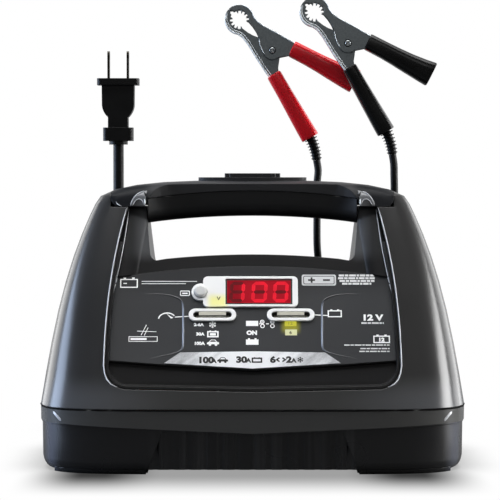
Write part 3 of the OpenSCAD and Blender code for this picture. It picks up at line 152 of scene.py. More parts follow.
def new_material(name):
    """An empty material with its tree, its shader and the object's own coordinates."""
    made = bpy.data.materials.new(name)
    made.use_nodes = True
    tree = made.node_tree
    tree.nodes.clear()
    shader = add(tree, "ShaderNodeBsdfPrincipled")
    out = add(tree, "ShaderNodeOutputMaterial")
    tree.links.new(shader.outputs[0], out.inputs["Surface"])
    return made, tree, shader, add(tree, "ShaderNodeTexCoord").outputs["Object"]


def place_piece(name, mesh, body, material):
    """A finished object in the scene, riding on a body, or on none yet."""
    piece = bpy.data.objects.new(name, mesh)
    bpy.context.scene.collection.objects.link(piece)
    piece.data.materials.append(material)
    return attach(piece, body) if body else piece


def rays_at(node, matrix=Matrix()):
    """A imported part's faces, to be met by rays, in the frame that a matrix leads to."""
    mesh = frame["nodes"][node].data
    return BVHTree.FromPolygons([matrix @ v.co for v in mesh.vertices],
                                [list(p.vertices) for p in mesh.polygons])


def spun(profile, steps):
    """A profile of radius and height, spun round Z."""
    bm = bmesh.new()
    verts = [bm.verts.new((x, 0, z)) for x, z in profile]
    edges = [bm.edges.new(pair) for pair in zip(verts, verts[1:])]
    bmesh.ops.spin(bm, geom=verts + edges, cent=(0, 0, 0), axis=(0, 0, 1), angle=math.tau,
                   steps=steps, use_merge=True)
    bmesh.ops.remove_doubles(bm, verts=bm.verts, dist=0.001)
    return bm


def skin(bm, rows, closed=False):
    """Faces along a tube of rows, capped at both ends unless it is closed."""
    for a, b in zip(rows, rows[1:] + rows[:1] if closed else rows[1:]):
        for k in range(len(a)):
            bm.faces.new((a[k], a[k - 1], b[k - 1], b[k]))
    if not closed:
        bm.faces.new(rows[0])
        bm.faces.new(reversed(rows[-1]))
    bmesh.ops.recalc_face_normals(bm, faces=bm.faces)


def thicken(bm, step):
    """Gives flat faces a thickness, as a step in one direction."""
    solid = bmesh.ops.extrude_face_region(bm, geom=bm.faces[:])
    moved = [v for v in solid["geom"] if isinstance(v, bmesh.types.BMVert)]
    bmesh.ops.translate(bm, vec=step, verts=moved)
    bmesh.ops.recalc_face_normals(bm, faces=bm.faces)


def mesh_of(name, bm, matrix=None, sharp=35.0):
    """A smooth mesh from a bmesh, with the edges over an angle kept sharp."""
    if matrix is not None:
        bmesh.ops.transform(bm, matrix=matrix, verts=bm.verts)
    for face in bm.faces:
        face.smooth = True
    for edge in bm.edges:
        edge.smooth = len(edge.link_faces) == 2 and edge.calc_face_angle(0) < math.radians(sharp)
    mesh = bpy.data.meshes.new(name)
    bm.to_mesh(mesh)
    bm.free()
    return mesh


# ---------- materials ----------

SMOOTH = {"interpolation_type": "SMOOTHSTEP"}
COLOURS = {"data_type": "RGBA"}
METAL = {"Metallic": 1.0}
MATERIALS = {}


def worked(name, colour, second, patch_mm, rough, grain_mm, depth_mm, edge_mm, sockets):
    """A solid finish: two close tints in patches, a fine grain in relief and eased edges.

    rough is the lowest and highest roughness. The sockets' values go straight on the shader.
    """
    made, tree, shader, coords = new_material(name)
    patches = add(tree, "ShaderNodeTexNoise", Vector=coords, Scale=1 / (patch_mm * MM), Detail=3.0)
    tint = add(tree, "ShaderNodeMix", COLOURS, i0=patches.outputs[0], i6=linear(colour),
               i7=linear(second))
    gloss = add(tree, "ShaderNodeMapRange", Value=patches.outputs[0], i1=0.3, i2=0.7,
                i3=rough[0], i4=rough[1])
    grain = add(tree, "ShaderNodeTexNoise", Vector=coords, Scale=1 / (grain_mm * MM), Detail=2.0)
    eased = add(tree, "ShaderNodeBevel", {"samples": 4}, Radius=edge_mm * MM)
    relief = add(tree, "ShaderNodeBump", Height=grain.outputs[0], Distance=depth_mm * MM,
                 Strength=1.0, Normal=eased.outputs[0])
    put(tree, shader, Base_Color=tint.outputs[2], Roughness=gloss.outputs[0],
        Normal=relief.outputs[0], **sockets)
    return made


def parts_of(made):
    """A material's tree, its shader and its object coordinates, split into X, Y and Z."""
    tree = made.node_tree
    shader = next(n for n in tree.nodes if n.type == "BSDF_PRINCIPLED")
    coords = next(n for n in tree.nodes if n.type == "TEX_COORD").outputs["Object"]
    return tree, shader, add(tree, "ShaderNodeSeparateXYZ", Vector=coords)


def fading(made, *ramps, mask=None):
    """A mask that rises to 1 along each ramp: an axis, and its start and end in millimetres.

    |X| and |Y| are measured from the middle of the charger. A mask that is given is narrowed.
    """
    tree, _, axes = parts_of(made)
    for axis, start, end in ramps:
        at = axes.outputs[axis.strip("|")]
        if "|" in axis:
            at = add(tree, "ShaderNodeMath", {"operation": "ABSOLUTE"}, i0=at).outputs[0]
        rise = add(tree, "ShaderNodeMapRange", SMOOTH, Value=at, i1=start * MM,
                   i2=end * MM).outputs[0]
        mask = rise if mask is None else add(tree, "ShaderNodeMath", {"operation": "MULTIPLY"},
                                             i0=mask, i1=rise).outputs[0]
    return mask


def soft_box(made, centre, half, soft):
    """1 inside a box seen from the front, fading to 0 over a soft border."""
    tree, _, axes = parts_of(made)
    fades = []
    for axis, at, reach in zip("XZ", (centre.x, centre.z), half):
        past = add(tree, "ShaderNodeMath", {"operation": "SUBTRACT"}, i0=axes.outputs[axis], i1=at)
        off = add(tree, "ShaderNodeMath", {"operation": "ABSOLUTE"}, i0=past.outputs[0])
        fades.append(add(tree, "ShaderNodeMapRange", SMOOTH, Value=off.outputs[0],
                         i1=(reach + soft) * MM, i2=reach * MM).outputs[0])
    return add(tree, "ShaderNodeMath", {"operation": "MULTIPLY"}, i0=fades[0],
               i1=fades[1]).outputs[0]


def over_v(made):
    """1 above the V line between the tray's band and its skirt."""
    tree, _, axes = parts_of(made)
    off = add(tree, "ShaderNodeMath", {"operation": "ABSOLUTE"}, i0=axes.outputs["X"])
    line = add(tree, "ShaderNodeMapRange", Value=off.outputs[0], i2=V_END * MM, i3=BAND_Z * MM,
               i4=(BAND_Z + BAND_RISE) * MM)
    above = add(tree, "ShaderNodeMath", {"operation": "SUBTRACT"}, i0=axes.outputs["Z"],
                i1=line.outputs[0])
    return add(tree, "ShaderNodeMapRange", SMOOTH, Value=above.outputs[0], i2=0.2 * MM).outputs[0]


def over(made, mask, colour, rough=None):
    """Lays a second colour, and a roughness, over a finish where a mask is 1."""
    tree, shader, _ = parts_of(made)
    base, gloss = shader.inputs["Base Color"], shader.inputs["Roughness"]
    mixed = add(tree, "ShaderNodeMix", COLOURS, i0=mask, i6=base.links[0].from_socket,
                i7=linear(colour))
    tree.links.new(mixed.outputs[2], base)
    if rough is not None:
        level = add(tree, "ShaderNodeMix", {"data_type": "FLOAT"}, i0=mask,
                    i2=gloss.links[0].from_socket, i3=rough)
        tree.links.new(level.outputs[0], gloss)


def lamp_behind(made, centre, half, soft, colour, strength):
    """The light of a lamp behind a surface, in a soft box."""
    mask = soft_box(made, centre, half, soft)
    over(made, mask, colour)
    tree, shader, _ = parts_of(made)
    power = add(tree, "ShaderNodeMath", {"operation": "MULTIPLY"}, i0=mask, i1=strength)
    put(tree, shader, Emission_Strength=power.outputs[0], Emission_Color=linear(colour))


# Slot, name, two tints, patch mm, lowest and highest roughness, grain mm, its depth mm, edge mm
FINISHES = [
    # Charcoal ABS moulded in a spark-eroded tool: an even fine grain that breaks up reflections
    ("case_plastic", "charcoal_abs", "#232323", "#272727", 60,
     (0.2, 0.26), 0.9, 0.008, 0.7, {"Specular_IOR_Level": 0.3}),
    # Black ABS fascia under the label and the handle, from the same fine-grained tool
    ("fascia", "black_fascia_abs", "#0d0d0e", "#101011", 60,
     (0.32, 0.38), 0.9, 0.02, 0.7, {"Specular_IOR_Level": 0.18}),
    # The same ABS on the handle's cover, dulled by hands; the middle of its bar is painted paler
    # below, a painted sheen
    ("cover", "rubbed_charcoal_abs", "#17181a", "#1b1c1e", 40,
     (0.34, 0.4), 0.9, 0.01, 0.7, {"Specular_IOR_Level": 0.05}),
    # Pale grey land round the domes at the cover's ends: a painted highlight on the rounded arch
    ("arch", "satin_abs_land", "#525457", "#5d5f62", 8, (0.3, 0.36), 0.9, 0.004, 0.3, {}),
    # Near-black beads along the joint between tray and housing and round the rivets: a painted
    # shadow
    ("joint", "black_joint", "#030303", "#050505", 10,
     (0.8, 0.9), 0.9, 0.004, 0.1, {"Specular_IOR_Level": 0.05}),
    # Pale edges of the mouldings and the glints on them: painted highlights
    ("edge_plastic", "polished_abs_edge", "#b4b6ba", "#c0c2c6", 12,
     (0.16, 0.22), 0.9, 0.002, 0.2, {}),
    # Black ABS tray from a smoother tool: darker and a little glossier than the housing
    ("tray_plastic", "black_abs", "#0f0f10", "#131314", 70,
     (0.24, 0.3), 1.1, 0.012, 0.6, {"Specular_IOR_Level": 0.4}),
    # Black ABS grip with a close grain, dull where hands rub it
    ("grip_plastic", "grained_black_abs", "#0b0b0c", "#0f0f10", 30,
     (0.36, 0.44), 0.8, 0.02, 0.8, {"Specular_IOR_Level": 0.3}),
    # Moulded nitrile feet: matt, nearly black
    ("foot_rubber", "nitrile_rubber", "#101010", "#161616", 12, (0.7, 0.8), 0.5, 0.02, 0.3, {}),
    # Zinc-plated steel screws: pale blue-grey with a soft shine
    ("screw_steel", "zinc_plated_steel", "#b4b8bb", "#a2a6aa", 4,
     (0.28, 0.4), 0.3, 0.004, 0.1, METAL),
    # Polycarbonate label, printed dark grey on its back and fine-grained on its face
    ("label_film", "printed_polycarbonate", "#2f3032", "#333436", 50,
     (0.36, 0.42), 0.5, 0.006, 0.1, {"Specular_IOR_Level": 0.25}),
    # Ribs of the label, polished by wiping; their upright runs carry a painted highlight
    ("ridge", "wiped_polycarbonate", "#333437", "#37383b", 20, (0.16, 0.2), 0.5, 0.003, 0.1, {}),
    # Gloss white ABS of the display surround and the key surrounds
    ("white_plastic", "white_abs", "#f2f2f1", "#eeeeec", 20, (0.2, 0.26), 2.0, 0.003, 0.4, {}),
    # Ivory ABS push bars, lightly rubbed
    ("ivory_plastic", "ivory_abs", "#b3b1a3", "#c0beb0", 6, (0.25, 0.35), 1.2, 0.004, 0.4, {}),
    # Pale grey satin button
    ("button_plastic", "satin_grey_abs", "#c2c2c0", "#cfcfcd", 5,
     (0.16, 0.22), 0.8, 0.004, 0.3, {}),
    # Fibreglass board under green solder mask
    ("circuit_board", "solder_masked_fibreglass", "#1f5a33", "#247040", 5,
     (0.3, 0.4), 0.6, 0.01, 0.1, {}),
    # Black moulded epoxy of relays, switches, rectifiers and the fan
    ("dark_component", "moulded_epoxy", "#1b1b1d", "#232326", 8, (0.45, 0.6), 0.5, 0.015, 0.2, {}),
    # Face of the unlit display block
    ("display_plastic", "display_block_abs", "#2c1212", "#351616", 8,
     (0.4, 0.5), 0.8, 0.005, 0.2, {}),
    # Water-clear yellow-green epoxy of the indicator lamps
    ("led_lens", "lamp_epoxy", "#dfe45a", "#e9ec78", 3, (0.1, 0.15), 1.0, 0.002, 0.2, {}),
    # Shrunk PVC sleeve on the capacitors: dark blue and glossy
    ("capacitor_sleeve", "shrunk_pvc_sleeve", "#1e2c55", "#23335f", 8,
     (0.2, 0.3), 1.5, 0.01, 0.2, {}),
    # Extruded aluminium, dulled by its oxide
    ("sink_aluminium", "extruded_aluminium", "#a9acae", "#9a9da0", 6,
     (0.4, 0.5), 0.4, 0.01, 0.2, METAL),
    # Nylon bobbin: warm, waxy
    ("bobbin_plastic", "bobbin_nylon", "#cbbb8e", "#d3c59b", 10, (0.35, 0.45), 1.0, 0.01, 0.3, {}),
    # Phenolic breaker body
    ("breaker_plastic", "phenolic", "#cfcabb", "#c4bfae", 8, (0.35, 0.45), 0.7, 0.01, 0.3, {}),
    # Nylon ties round the coils
    ("tie_plastic", "nylon_tie", "#161616", "#1c1c1c", 6, (0.35, 0.45), 0.8, 0.01, 0.2, {}),
    # PVC moulded over the plug, the boots and the strain reliefs: satin black
    ("plug_plastic", "moulded_pvc", "#070707", "#0a0a0a", 10,
     (0.36, 0.46), 0.8, 0.012, 0.5, {"Specular_IOR_Level": 0.15}),
    # Rolled brass blades with a bright plated skin
    ("blade_brass", "plated_brass", "#2b2925", "#37342e", 4, (0.24, 0.34), 0.6, 0.003, 0.2, METAL),
    # Plated steel rivets: bright domes
    ("rivet_steel", "plated_rivet_steel", "#a5a9aa", "#969b9d", 2,
     (0.26, 0.34), 1.0, 0.0005, 0.3, METAL),
    # Bright bent edges of the clamps' sheet and the handle's sills: painted highlights
    ("bright_edge", "burnished_sheet_edge", "#eef2f3", "#dde3e5", 4,
     (0.2, 0.28), 0.4, 0.002, 0.1, {}),
    # Cold-rolled sheet under dull nickel: grey with a faint mottle and bright bent edges
    ("clamp_steel", "nickel_plated_sheet", "#7c8284", "#5a5f61", 1.1,
     (0.34, 0.48), 0.35, 0.004, 0.7, METAL),
    # Drawn spring wire
    ("spring_steel", "drawn_spring_wire", "#9da1a2", "#8c9091", 2,
     (0.25, 0.35), 0.3, 0.003, 0.1, METAL),
    # Vinyl-dipped grips: saturated red, glossy, slightly uneven where the dip has run
    ("red_vinyl", "dipped_red_vinyl", "#d0121f", "#bc0e1a", 14,
     (0.2, 0.3), 3.0, 0.02, 0.8, {"Specular_IOR_Level": 0.35}),
    # The same dipped vinyl in black, on the black clamp's grips
    ("black_vinyl", "dipped_black_vinyl", "#050505", "#080808", 14,
     (0.2, 0.3), 3.0, 0.02, 0.8, {"Specular_IOR_Level": 0.25}),
    # Extruded PVC cord jacket: satin black with faint die lines
    ("cord_jacket", "extruded_pvc_jacket", "#090909", "#0d0d0e", 9,
     (0.4, 0.5), 0.7, 0.01, 0.1, {"Specular_IOR_Level": 0.15}),
]


def make_materials():
    """Every finish on the charger, by its slot in the record."""
    m = MATERIALS
    for slot, *finish in FINISHES:
        m[slot] = worked(*finish)
    # The housing painted paler along its lower edge, most of all at the corners: a painted sheen
    case, fascia, tray = m["case_plastic"], m["fascia"], m["tray_plastic"]
    low = fading(case, ("Z", 62, 45))
    over(case, low, "#2e2e2d")
    over(case, fading(case, ("|X|", 40, 105), mask=low), "#3d3e40")
    # The fascia's lower lip in painted shadow, and its pillars painted paler towards the opening: a
    # painted highlight
    over(fascia, fading(fascia, ("Z", 57, 54)), "#040404")
    high = fading(fascia, ("Z", 127, 137), ("|X|", 61, 66))
    over(fascia, high, "#1f2021")
    over(fascia, fading(fascia, ("|X|", 77, 68.5), mask=high), "#454648")
    # The cover painted paler over the middle of its bar: a painted sheen
    over(m["cover"], fading(m["cover"], ("|X|", 70, 62)), "#323233")
    # The tray's corners painted paler and bluer: a painted highlight
    over(tray, fading(tray, ("|X|", 118, 128), ("|Y|", 60, 78)), "#484b55")
    # Paler streaks painted down the fluted middle, in place of the light on its flutes: a painted
    # sheen
    tree, _, axes = parts_of(tray)
    flute_streak_noise = add(tree, "ShaderNodeTexNoise", {"noise_dimensions": "1D"}, W=axes.outputs["X"],
               Scale=1 / (9 * MM), Detail=2.0)
    marks = add(tree, "ShaderNodeMapRange", Value=flute_streak_noise.outputs[0], i1=0.45, i2=0.7)
    over(tray, fading(tray, ("|X|", 66, 60), mask=marks.outputs[0]), "#29292a")
    # The band above the V painted paler, a painted sheen, and made glossier
    over(tray, over_v(tray), "#434342", 0.2)
    # The label's darker top, a painted highlight on its ribs, and the lamps behind the label and
    # the surround
    label, ridge = m["label_film"], m["ridge"]
    over(label, fading(label, ("Z", 104, 123)), "#212224")
    lamp_behind(label, panel_matrix() @ Vector((23.8, 29.6, 0)), (2.6, 1.2), 4.8, "#8b8824", 0.22)
    # Pale blue-grey on the ribs' upright runs: a painted highlight
    over(ridge, fading(ridge, ("Z", 72, 82), ("Z", 106, 98)), "#8790a0", 0.16)
    lamp_behind(m["white_plastic"], panel_matrix() @ Vector((-21.6, 46.4, 0)), (3.2, 1.0), 5.2,
                "#f0eda0", 0.06)
    m["silver_film"] = brushed_silver()
    m["red_window"] = red_acrylic()
    # Varnished silicon steel, the edges of 0.5 mm sheets drawn 2 mm apart so that they show
    m["core_steel"] = banded("varnished_laminations", "Y", 6.3, "#3a3c3f", "#55585b", 0.1, 0.8,
                             0.45)
    # Enamelled winding wire, amber over copper: 1.2 mm turns drawn 2.4 mm apart
    m["winding_copper"] = banded("enamelled_copper_wire", "Z", 7.5, "#6b2f12", "#b9682c", 0.4, 0.7,
                                 0.3)


def brushed_silver():
    """Metallised film with a brushed print: slanting streaks in bands, and a painted highlight
    brightest at the middle.
    """
    made, tree, shader, coords = new_material("brushed_metallised_film")
    # Streaks 0.4 mm apart and 10 mm long; the real ones are finer
    slant = add(tree, "ShaderNodeMapping", Vector=coords, Rotation=(0, math.radians(35), 0))
    drawn = add(tree, "ShaderNodeMapping", Vector=slant.outputs[0],
                Scale=(1 / (10 * MM), 2500, 2500))
    streak = add(tree, "ShaderNodeTexNoise", Vector=drawn.outputs[0], Scale=1.0, Detail=2.0)
    sides = add(tree, "ShaderNodeSeparateXYZ", Vector=coords)
    # A painted highlight across the strip, brightest at the middle
    off = add(tree, "ShaderNodeMath", {"operation": "ABSOLUTE"}, i0=sides.outputs["X"])
    shine = add(tree, "ShaderNodeMapRange", SMOOTH, Value=off.outputs[0], i1=6 * MM, i2=52 * MM,
                i3=0.8, i4=0.0)
    wide = add(tree, "ShaderNodeMapping", Vector=slant.outputs[0], Scale=(60, 60, 300))
    bands = add(tree, "ShaderNodeTexNoise", Vector=wide.outputs[0], Scale=1.0, Detail=1.0)
    lines, wash = (add(tree, "ShaderNodeMath", {"operation": "MULTIPLY"}, i0=part.outputs[0],
                       i1=share) for part, share in ((streak, 0.5), (bands, 0.9)))
    both = lines
    for more in (wash, shine):
        both = add(tree, "ShaderNodeMath", {"operation": "ADD"}, i0=both.outputs[0],
                   i1=more.outputs[0])
    tint = add(tree, "ShaderNodeMapRange", Value=both.outputs[0], i1=0.5, i2=1.35)
    mixed = add(tree, "ShaderNodeMix", COLOURS, i0=tint.outputs[0], i6=linear("#8a8b8e"),
                i7=linear("#f0f1f3"))
    relief = add(tree, "ShaderNodeBump", Height=streak.outputs[0], Distance=0.004 * MM,
                 Strength=1.0)
    put(tree, shader, Base_Color=mixed.outputs[2], Normal=relief.outputs[0], Metallic=0.15,
        Roughness=0.35)
    return made


def red_acrylic():
    """Dark red display filter: glossy, lit from behind round the lit digits."""
    made, tree, shader, coords = new_material("red_acrylic_filter")
    behind = add(tree, "ShaderNodeTexNoise", Vector=coords, Scale=1 / (7 * MM), Detail=1.0)
    tint = add(tree, "ShaderNodeMix", COLOURS, i0=behind.outputs[0], i6=linear("#5c0a12"),
               i7=linear("#6e0d17"))
    near = soft_box(made, panel_matrix() @ Vector((8.5, 51, 0)), (11, 4), 8)
    # Away from the lit digits the filter still glows faintly: a painted glow
    power = add(tree, "ShaderNodeMapRange", Value=near, i3=0.225, i4=0.38)
    put(tree, shader, Base_Color=tint.outputs[2], Emission_Strength=power.outputs[0],
        Emission_Color=linear("#d8122a"), Roughness=0.22, Specular_IOR_Level=0.25)
    return made


def banded(name, direction, spread, dark, pale, depth_mm, metallic, rough):
    """Parallel bands in relief, dark and pale. spread is 3.18 mm for each mm between them."""
    made, tree, shader, coords = new_material(name)
    bands = add(tree, "ShaderNodeTexWave", {"bands_direction": direction}, Vector=coords,
                Scale=1000 / spread)
    tint = add(tree, "ShaderNodeMix", COLOURS, i0=bands.outputs[1], i6=linear(dark),
               i7=linear(pale))
    relief = add(tree, "ShaderNodeBump", Height=bands.outputs[1], Distance=depth_mm * MM,
                 Strength=1.0)
    put(tree, shader, Base_Color=tint.outputs[2], Normal=relief.outputs[0], Metallic=metallic,
        Roughness=rough)
    return made


def ink(name, colour, rough=0.45):
    """Screen-printed ink: nearly even, a little thinner in places."""
    return worked(name, colour, colour, 3, (rough, rough + 0.1), 0.4, 0.002, 0.05, {})


def lamp_light(name, colour, strength):
    """Light of a linear colour through diffusing plastic, brightest where the lamp stands."""
    made, tree, shader, coords = new_material(name)
    uneven = add(tree, "ShaderNodeTexNoise", Vector=coords, Scale=1 / (4 * MM), Detail=0.0)
    level = add(tree, "ShaderNodeMapRange", Value=uneven.outputs[0], i1=0.3, i2=0.7,
                i3=strength * 0.85, i4=strength)
    put(tree, shader, Base_Color=linear("#2a0a0c"), Emission_Color=colour,
        Emission_Strength=level.outputs[0], Roughness=0.4, Specular_IOR_Level=0.1)
    return made


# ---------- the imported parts' own shapes, finished ----------


def slot_of(node):
    """The record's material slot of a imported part."""
    return next(s["material_slot"] for s in frame["record"]["subparts"] if s["node"] == node)


def body_of(node):
    """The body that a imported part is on."""
    return frame["nodes"][node]["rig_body"]


def finished(node, sharp=40.0, edge_mm=0.0, material=None, rides=True):
    """A merged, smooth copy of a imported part, its edges rounded, which stands for it."""
    bm = bmesh.new()
    bm.from_mesh(frame["nodes"][node].data)
    bmesh.ops.remove_doubles(bm, verts=bm.verts, dist=0.002 * MM)
    if edge_mm:
        bmesh.ops.dissolve_limit(bm, angle_limit=math.radians(0.05), verts=bm.verts,
                                 edges=bm.edges)
    mesh = mesh_of(node + "_finished", bm, sharp=sharp)
    slot = slot_of(node)
    piece = place_piece(node + "_finished", mesh, body_of(node) if rides else None,
                        material or MATERIALS[slot])
    if edge_mm:
        bevel = piece.modifiers.new("eased_edges", "BEVEL")
        bevel.width = edge_mm * MM
        bevel.segments = 2
        bevel.limit_method = "ANGLE"
        bevel.angle_limit = math.radians(sharp)
        bevel.harden_normals = True
    weighted = piece.modifiers.new("flat_faces_stay_flat", "WEIGHTED_NORMAL")
    weighted.keep_sharp = True
    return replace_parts(piece, node)


def paint(*nodes):
    """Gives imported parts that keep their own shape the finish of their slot."""
    for node in nodes:
        mesh = frame["nodes"][node].data
        mesh.materials.clear()
        mesh.materials.append(MATERIALS[slot_of(node)])


# ---------- sizes and colours that a user would change ----------


class ChargerSizes(bpy.types.PropertyGroup):
    """Sizes of the pieces that are made here."""

    mains_d: FloatProperty(name="Mains cord", description="Diameter of the mains cord",
                           default=0.007, unit="LENGTH")
    lead_d: FloatProperty(name="Battery lead", description="Diameter of each battery lead",
                          default=0.005, unit="LENGTH")
    boot_ribs: IntProperty(name="Boot ribs", description="Ribs on each boot", default=7, min=3,
                           max=9)
    boot_r: FloatProperty(name="Boot radius", description="Radius of a boot between its ribs",
                          default=0.0028, unit="LENGTH")
    ink_t: FloatProperty(name="Ink", description="Thickness of the printed marks",
                         default=0.00006, unit="LENGTH")


class ChargerColours(bpy.types.PropertyGroup):
    """Colours of the printed marks and the light."""

    display: FloatVectorProperty(name="Display", description="Colour of the lit digits",
                                 default=linear("#f3122e"), size=4, subtype="COLOR")


# ---------- camera and light ----------

# Metres, degrees down from level, and the focal length in widths of the picture
CAMERA_AT = (-0.0016, -1.595, 0.19)
CAMERA_DOWN = 1.98
FOCAL_WIDTHS = 2460 / 500
SENSOR_MM = 36


class CHARGER_OT_camera(bpy.types.Operator):
    """Places the camera a little above the handle's height, in front"""

    bl_idname = "charger.camera"
    bl_label = "Camera"

    def execute(self, context):
        data = bpy.data.cameras.new("camera")
        data.sensor_width = SENSOR_MM
        data.lens = FOCAL_WIDTHS * SENSOR_MM
        data.clip_end = 20
        camera = bpy.data.objects.new("camera", data)
        camera.location = CAMERA_AT
        camera.rotation_euler = (math.radians(90 - CAMERA_DOWN), 0, 0)
        context.scene.collection.objects.link(camera)
        context.scene.camera = camera
        return {"FINISHED"}


def softbox(name, at, towards, wide, high, watts, colour=(1, 1, 1)):
    """A rectangular lamp that faces a point."""
    data = bpy.data.lights.new(name, "AREA")
    data.shape = "RECTANGLE"
    data.size, data.size_y, data.energy, data.color = wide, high, watts, colour
    lamp = bpy.data.objects.new(name, data)
    lamp.location = at
    lamp.rotation_euler = (Vector(towards) - Vector(at)).to_track_quat("-Z", "Y").to_euler()
    bpy.context.scene.collection.objects.link(lamp)


class CHARGER_OT_stage(bpy.types.Operator):
    """Makes the floor, the pale surroundings and the soft lamps"""

    bl_idname = "charger.stage"
    bl_label = "Stage"

    def execute(self, context):
        scene = context.scene
        scene.view_settings.view_transform = "Standard"
        bm = bmesh.new()
        bmesh.ops.create_grid(bm, x_segments=24, y_segments=24, size=1.2)
        mesh = mesh_of("floor", bm, Matrix.Translation((0, 0.1, 0)))
        floor = bpy.data.objects.new("floor", mesh)
        scene.collection.objects.link(floor)
        floor.data.materials.append(self.floor_finish())
        scene.world = self.surroundings()
        middle = (0, 0, 0.14)
        softbox("top_softbox", (0.0, -0.1, 1.45), (0, -0.05, 0.1), 1.5, 1.0, 30)
        softbox("front_softbox", (0.0, -1.7, 0.95), (0, 0, 0.1), 1.2, 0.6, 4)
        softbox("left_strip", (-1.2, 0.02, 0.3), middle, 0.6, 0.9, 25, (0.6, 0.74, 1.0))
        softbox("right_strip", (1.2, 0.02, 0.3), middle, 0.5, 0.9, 26)
        for name, x in (("rim_left", -1.0), ("rim_right", 1.0)):
            softbox(name, (x, 0.9, 0.35), middle, 0.8, 0.9, 6)
        return {"FINISHED"}

    def floor_finish(self):
        """White card with a painted shadow of the charger that stands on it, fading into the
        surroundings.
        """
        made, tree, shader, coords = new_material("matt_white_card")
        tooth = add(tree, "ShaderNodeTexNoise", Vector=coords, Scale=1 / (1.5 * MM), Detail=1.0)
        relief = add(tree, "ShaderNodeBump", Height=tooth.outputs[0], Distance=0.02 * MM)
        put(tree, shader, Normal=relief.outputs[0], Base_Color=linear("#505050"), Roughness=0.8)
        # The card's own light, darkened into a painted shadow close to the charger and in front of
        # its feet
        open_sky = add(tree, "ShaderNodeAmbientOcclusion", {"samples": 12}, Distance=0.04)
        close = add(tree, "ShaderNodeMapRange", SMOOTH, Value=open_sky.outputs["AO"], i1=0.95,
                    i2=0.2, i3=0.0, i4=0.6)
        axes = add(tree, "ShaderNodeSeparateXYZ", Vector=coords)
        off = add(tree, "ShaderNodeMath", {"operation": "ABSOLUTE"}, i0=axes.outputs["X"])
        feet = add(tree, "ShaderNodeMapRange", SMOOTH, Value=off.outputs[0], i1=55 * MM,
                   i2=92 * MM, i3=0.66, i4=0.97)
        aside = fading(made, ("|X|", 146, 104), mask=feet.outputs[0])
        ahead = fading(made, ("Y", -196, -92), ("Y", 130, 90))
        patch = add(tree, "ShaderNodeMath", {"operation": "MULTIPLY"}, i0=aside, i1=ahead)
        shaded = add(tree, "ShaderNodeMath", {"operation": "MAXIMUM"}, i0=close.outputs[0],
                     i1=patch.outputs[0])
        shade = add(tree, "ShaderNodeMapRange", Value=shaded.outputs[0], i3=1.0, i4=0.02)
        card = add(tree, "ShaderNodeEmission", Color=(1, 1, 1, 1), Strength=shade.outputs[0])
        away = add(tree, "ShaderNodeVectorMath", {"operation": "LENGTH"}, i0=coords)
        fade = add(tree, "ShaderNodeMapRange", SMOOTH, Value=away.outputs["Value"], i1=0.3,
                   i2=0.75)
        clear = add(tree, "ShaderNodeBsdfTransparent")
        path = add(tree, "ShaderNodeLightPath")
        seen = add(tree, "ShaderNodeMixShader", i0=fade.outputs[0], i1=card.outputs[0],
                   i2=clear.outputs[0])
        # The camera sees the white card; the charger mirrors a dim one
        mixed = add(tree, "ShaderNodeMixShader", i0=path.outputs["Is Camera Ray"],
                    i1=shader.outputs[0], i2=seen.outputs[0])
        out = next(n for n in tree.nodes if n.type == "OUTPUT_MATERIAL")
        tree.links.new(mixed.outputs[0], out.inputs["Surface"])
        return made

    def surroundings(self):
        """White where it is seen or mirrored, and a plain soft light everywhere else."""
        world = bpy.data.worlds.new("studio")
        world.use_nodes = True
        tree = world.node_tree
        tree.nodes.clear()
        path = add(tree, "ShaderNodeLightPath")
        seen = add(tree, "ShaderNodeMath", {"operation": "MAXIMUM"},
                   i0=path.outputs["Is Camera Ray"], i1=path.outputs["Is Transmission Ray"])
        mirrored = add(tree, "ShaderNodeMath", {"operation": "MAXIMUM"}, i0=seen.outputs[0],
                       i1=path.outputs["Is Glossy Ray"])
        strength = add(tree, "ShaderNodeMapRange", Value=mirrored.outputs[0], i3=0.5, i4=1.0)
        # The studio's front is dim, so it is mirrored less than the white card behind
        towards = add(tree, "ShaderNodeTexCoord").outputs["Generated"]
        front = add(tree, "ShaderNodeSeparateXYZ", Vector=towards)
        depth = add(tree, "ShaderNodeMapRange", SMOOTH, Value=front.outputs["Y"], i1=-0.4, i2=0.3,
                    i3=0.1, i4=0.7)
        dim = add(tree, "ShaderNodeMath", {"operation": "MULTIPLY"}, i0=strength.outputs[0],
                  i1=depth.outputs[0])
        level = add(tree, "ShaderNodeMix", {"data_type": "FLOAT"},
                    i0=path.outputs["Is Camera Ray"], i2=dim.outputs[0], i3=1.0)
        light = add(tree, "ShaderNodeBackground", Color=(1, 1, 1, 1), Strength=level.outputs[0])
        out = add(tree, "ShaderNodeOutputWorld")
        tree.links.new(light.outputs[0], out.inputs["Surface"])
        return world


# ---------- leads ----------

# From the strain reliefs to the coils, in millimetres
MAINS_OUT = [(-41, 124, 19), (-41, 127, 19), (-41, 136, 19), (-41, 143, 18.6), (-41, 150, 17.3),
             (-41, 157, 15.5), (-41, 164, 13.7), (-41, 171, 12.5)]
LEAD_OUT = [(108, 19), (111, 19), (117, 19), (124, 18.2), (131, 16.1), (138, 13.3), (145, 10.8),
            (151, 9.5)]
RED_OUT = [(-24, *p) for p in LEAD_OUT]
BLACK_OUT = [(57, *p) for p in LEAD_OUT]

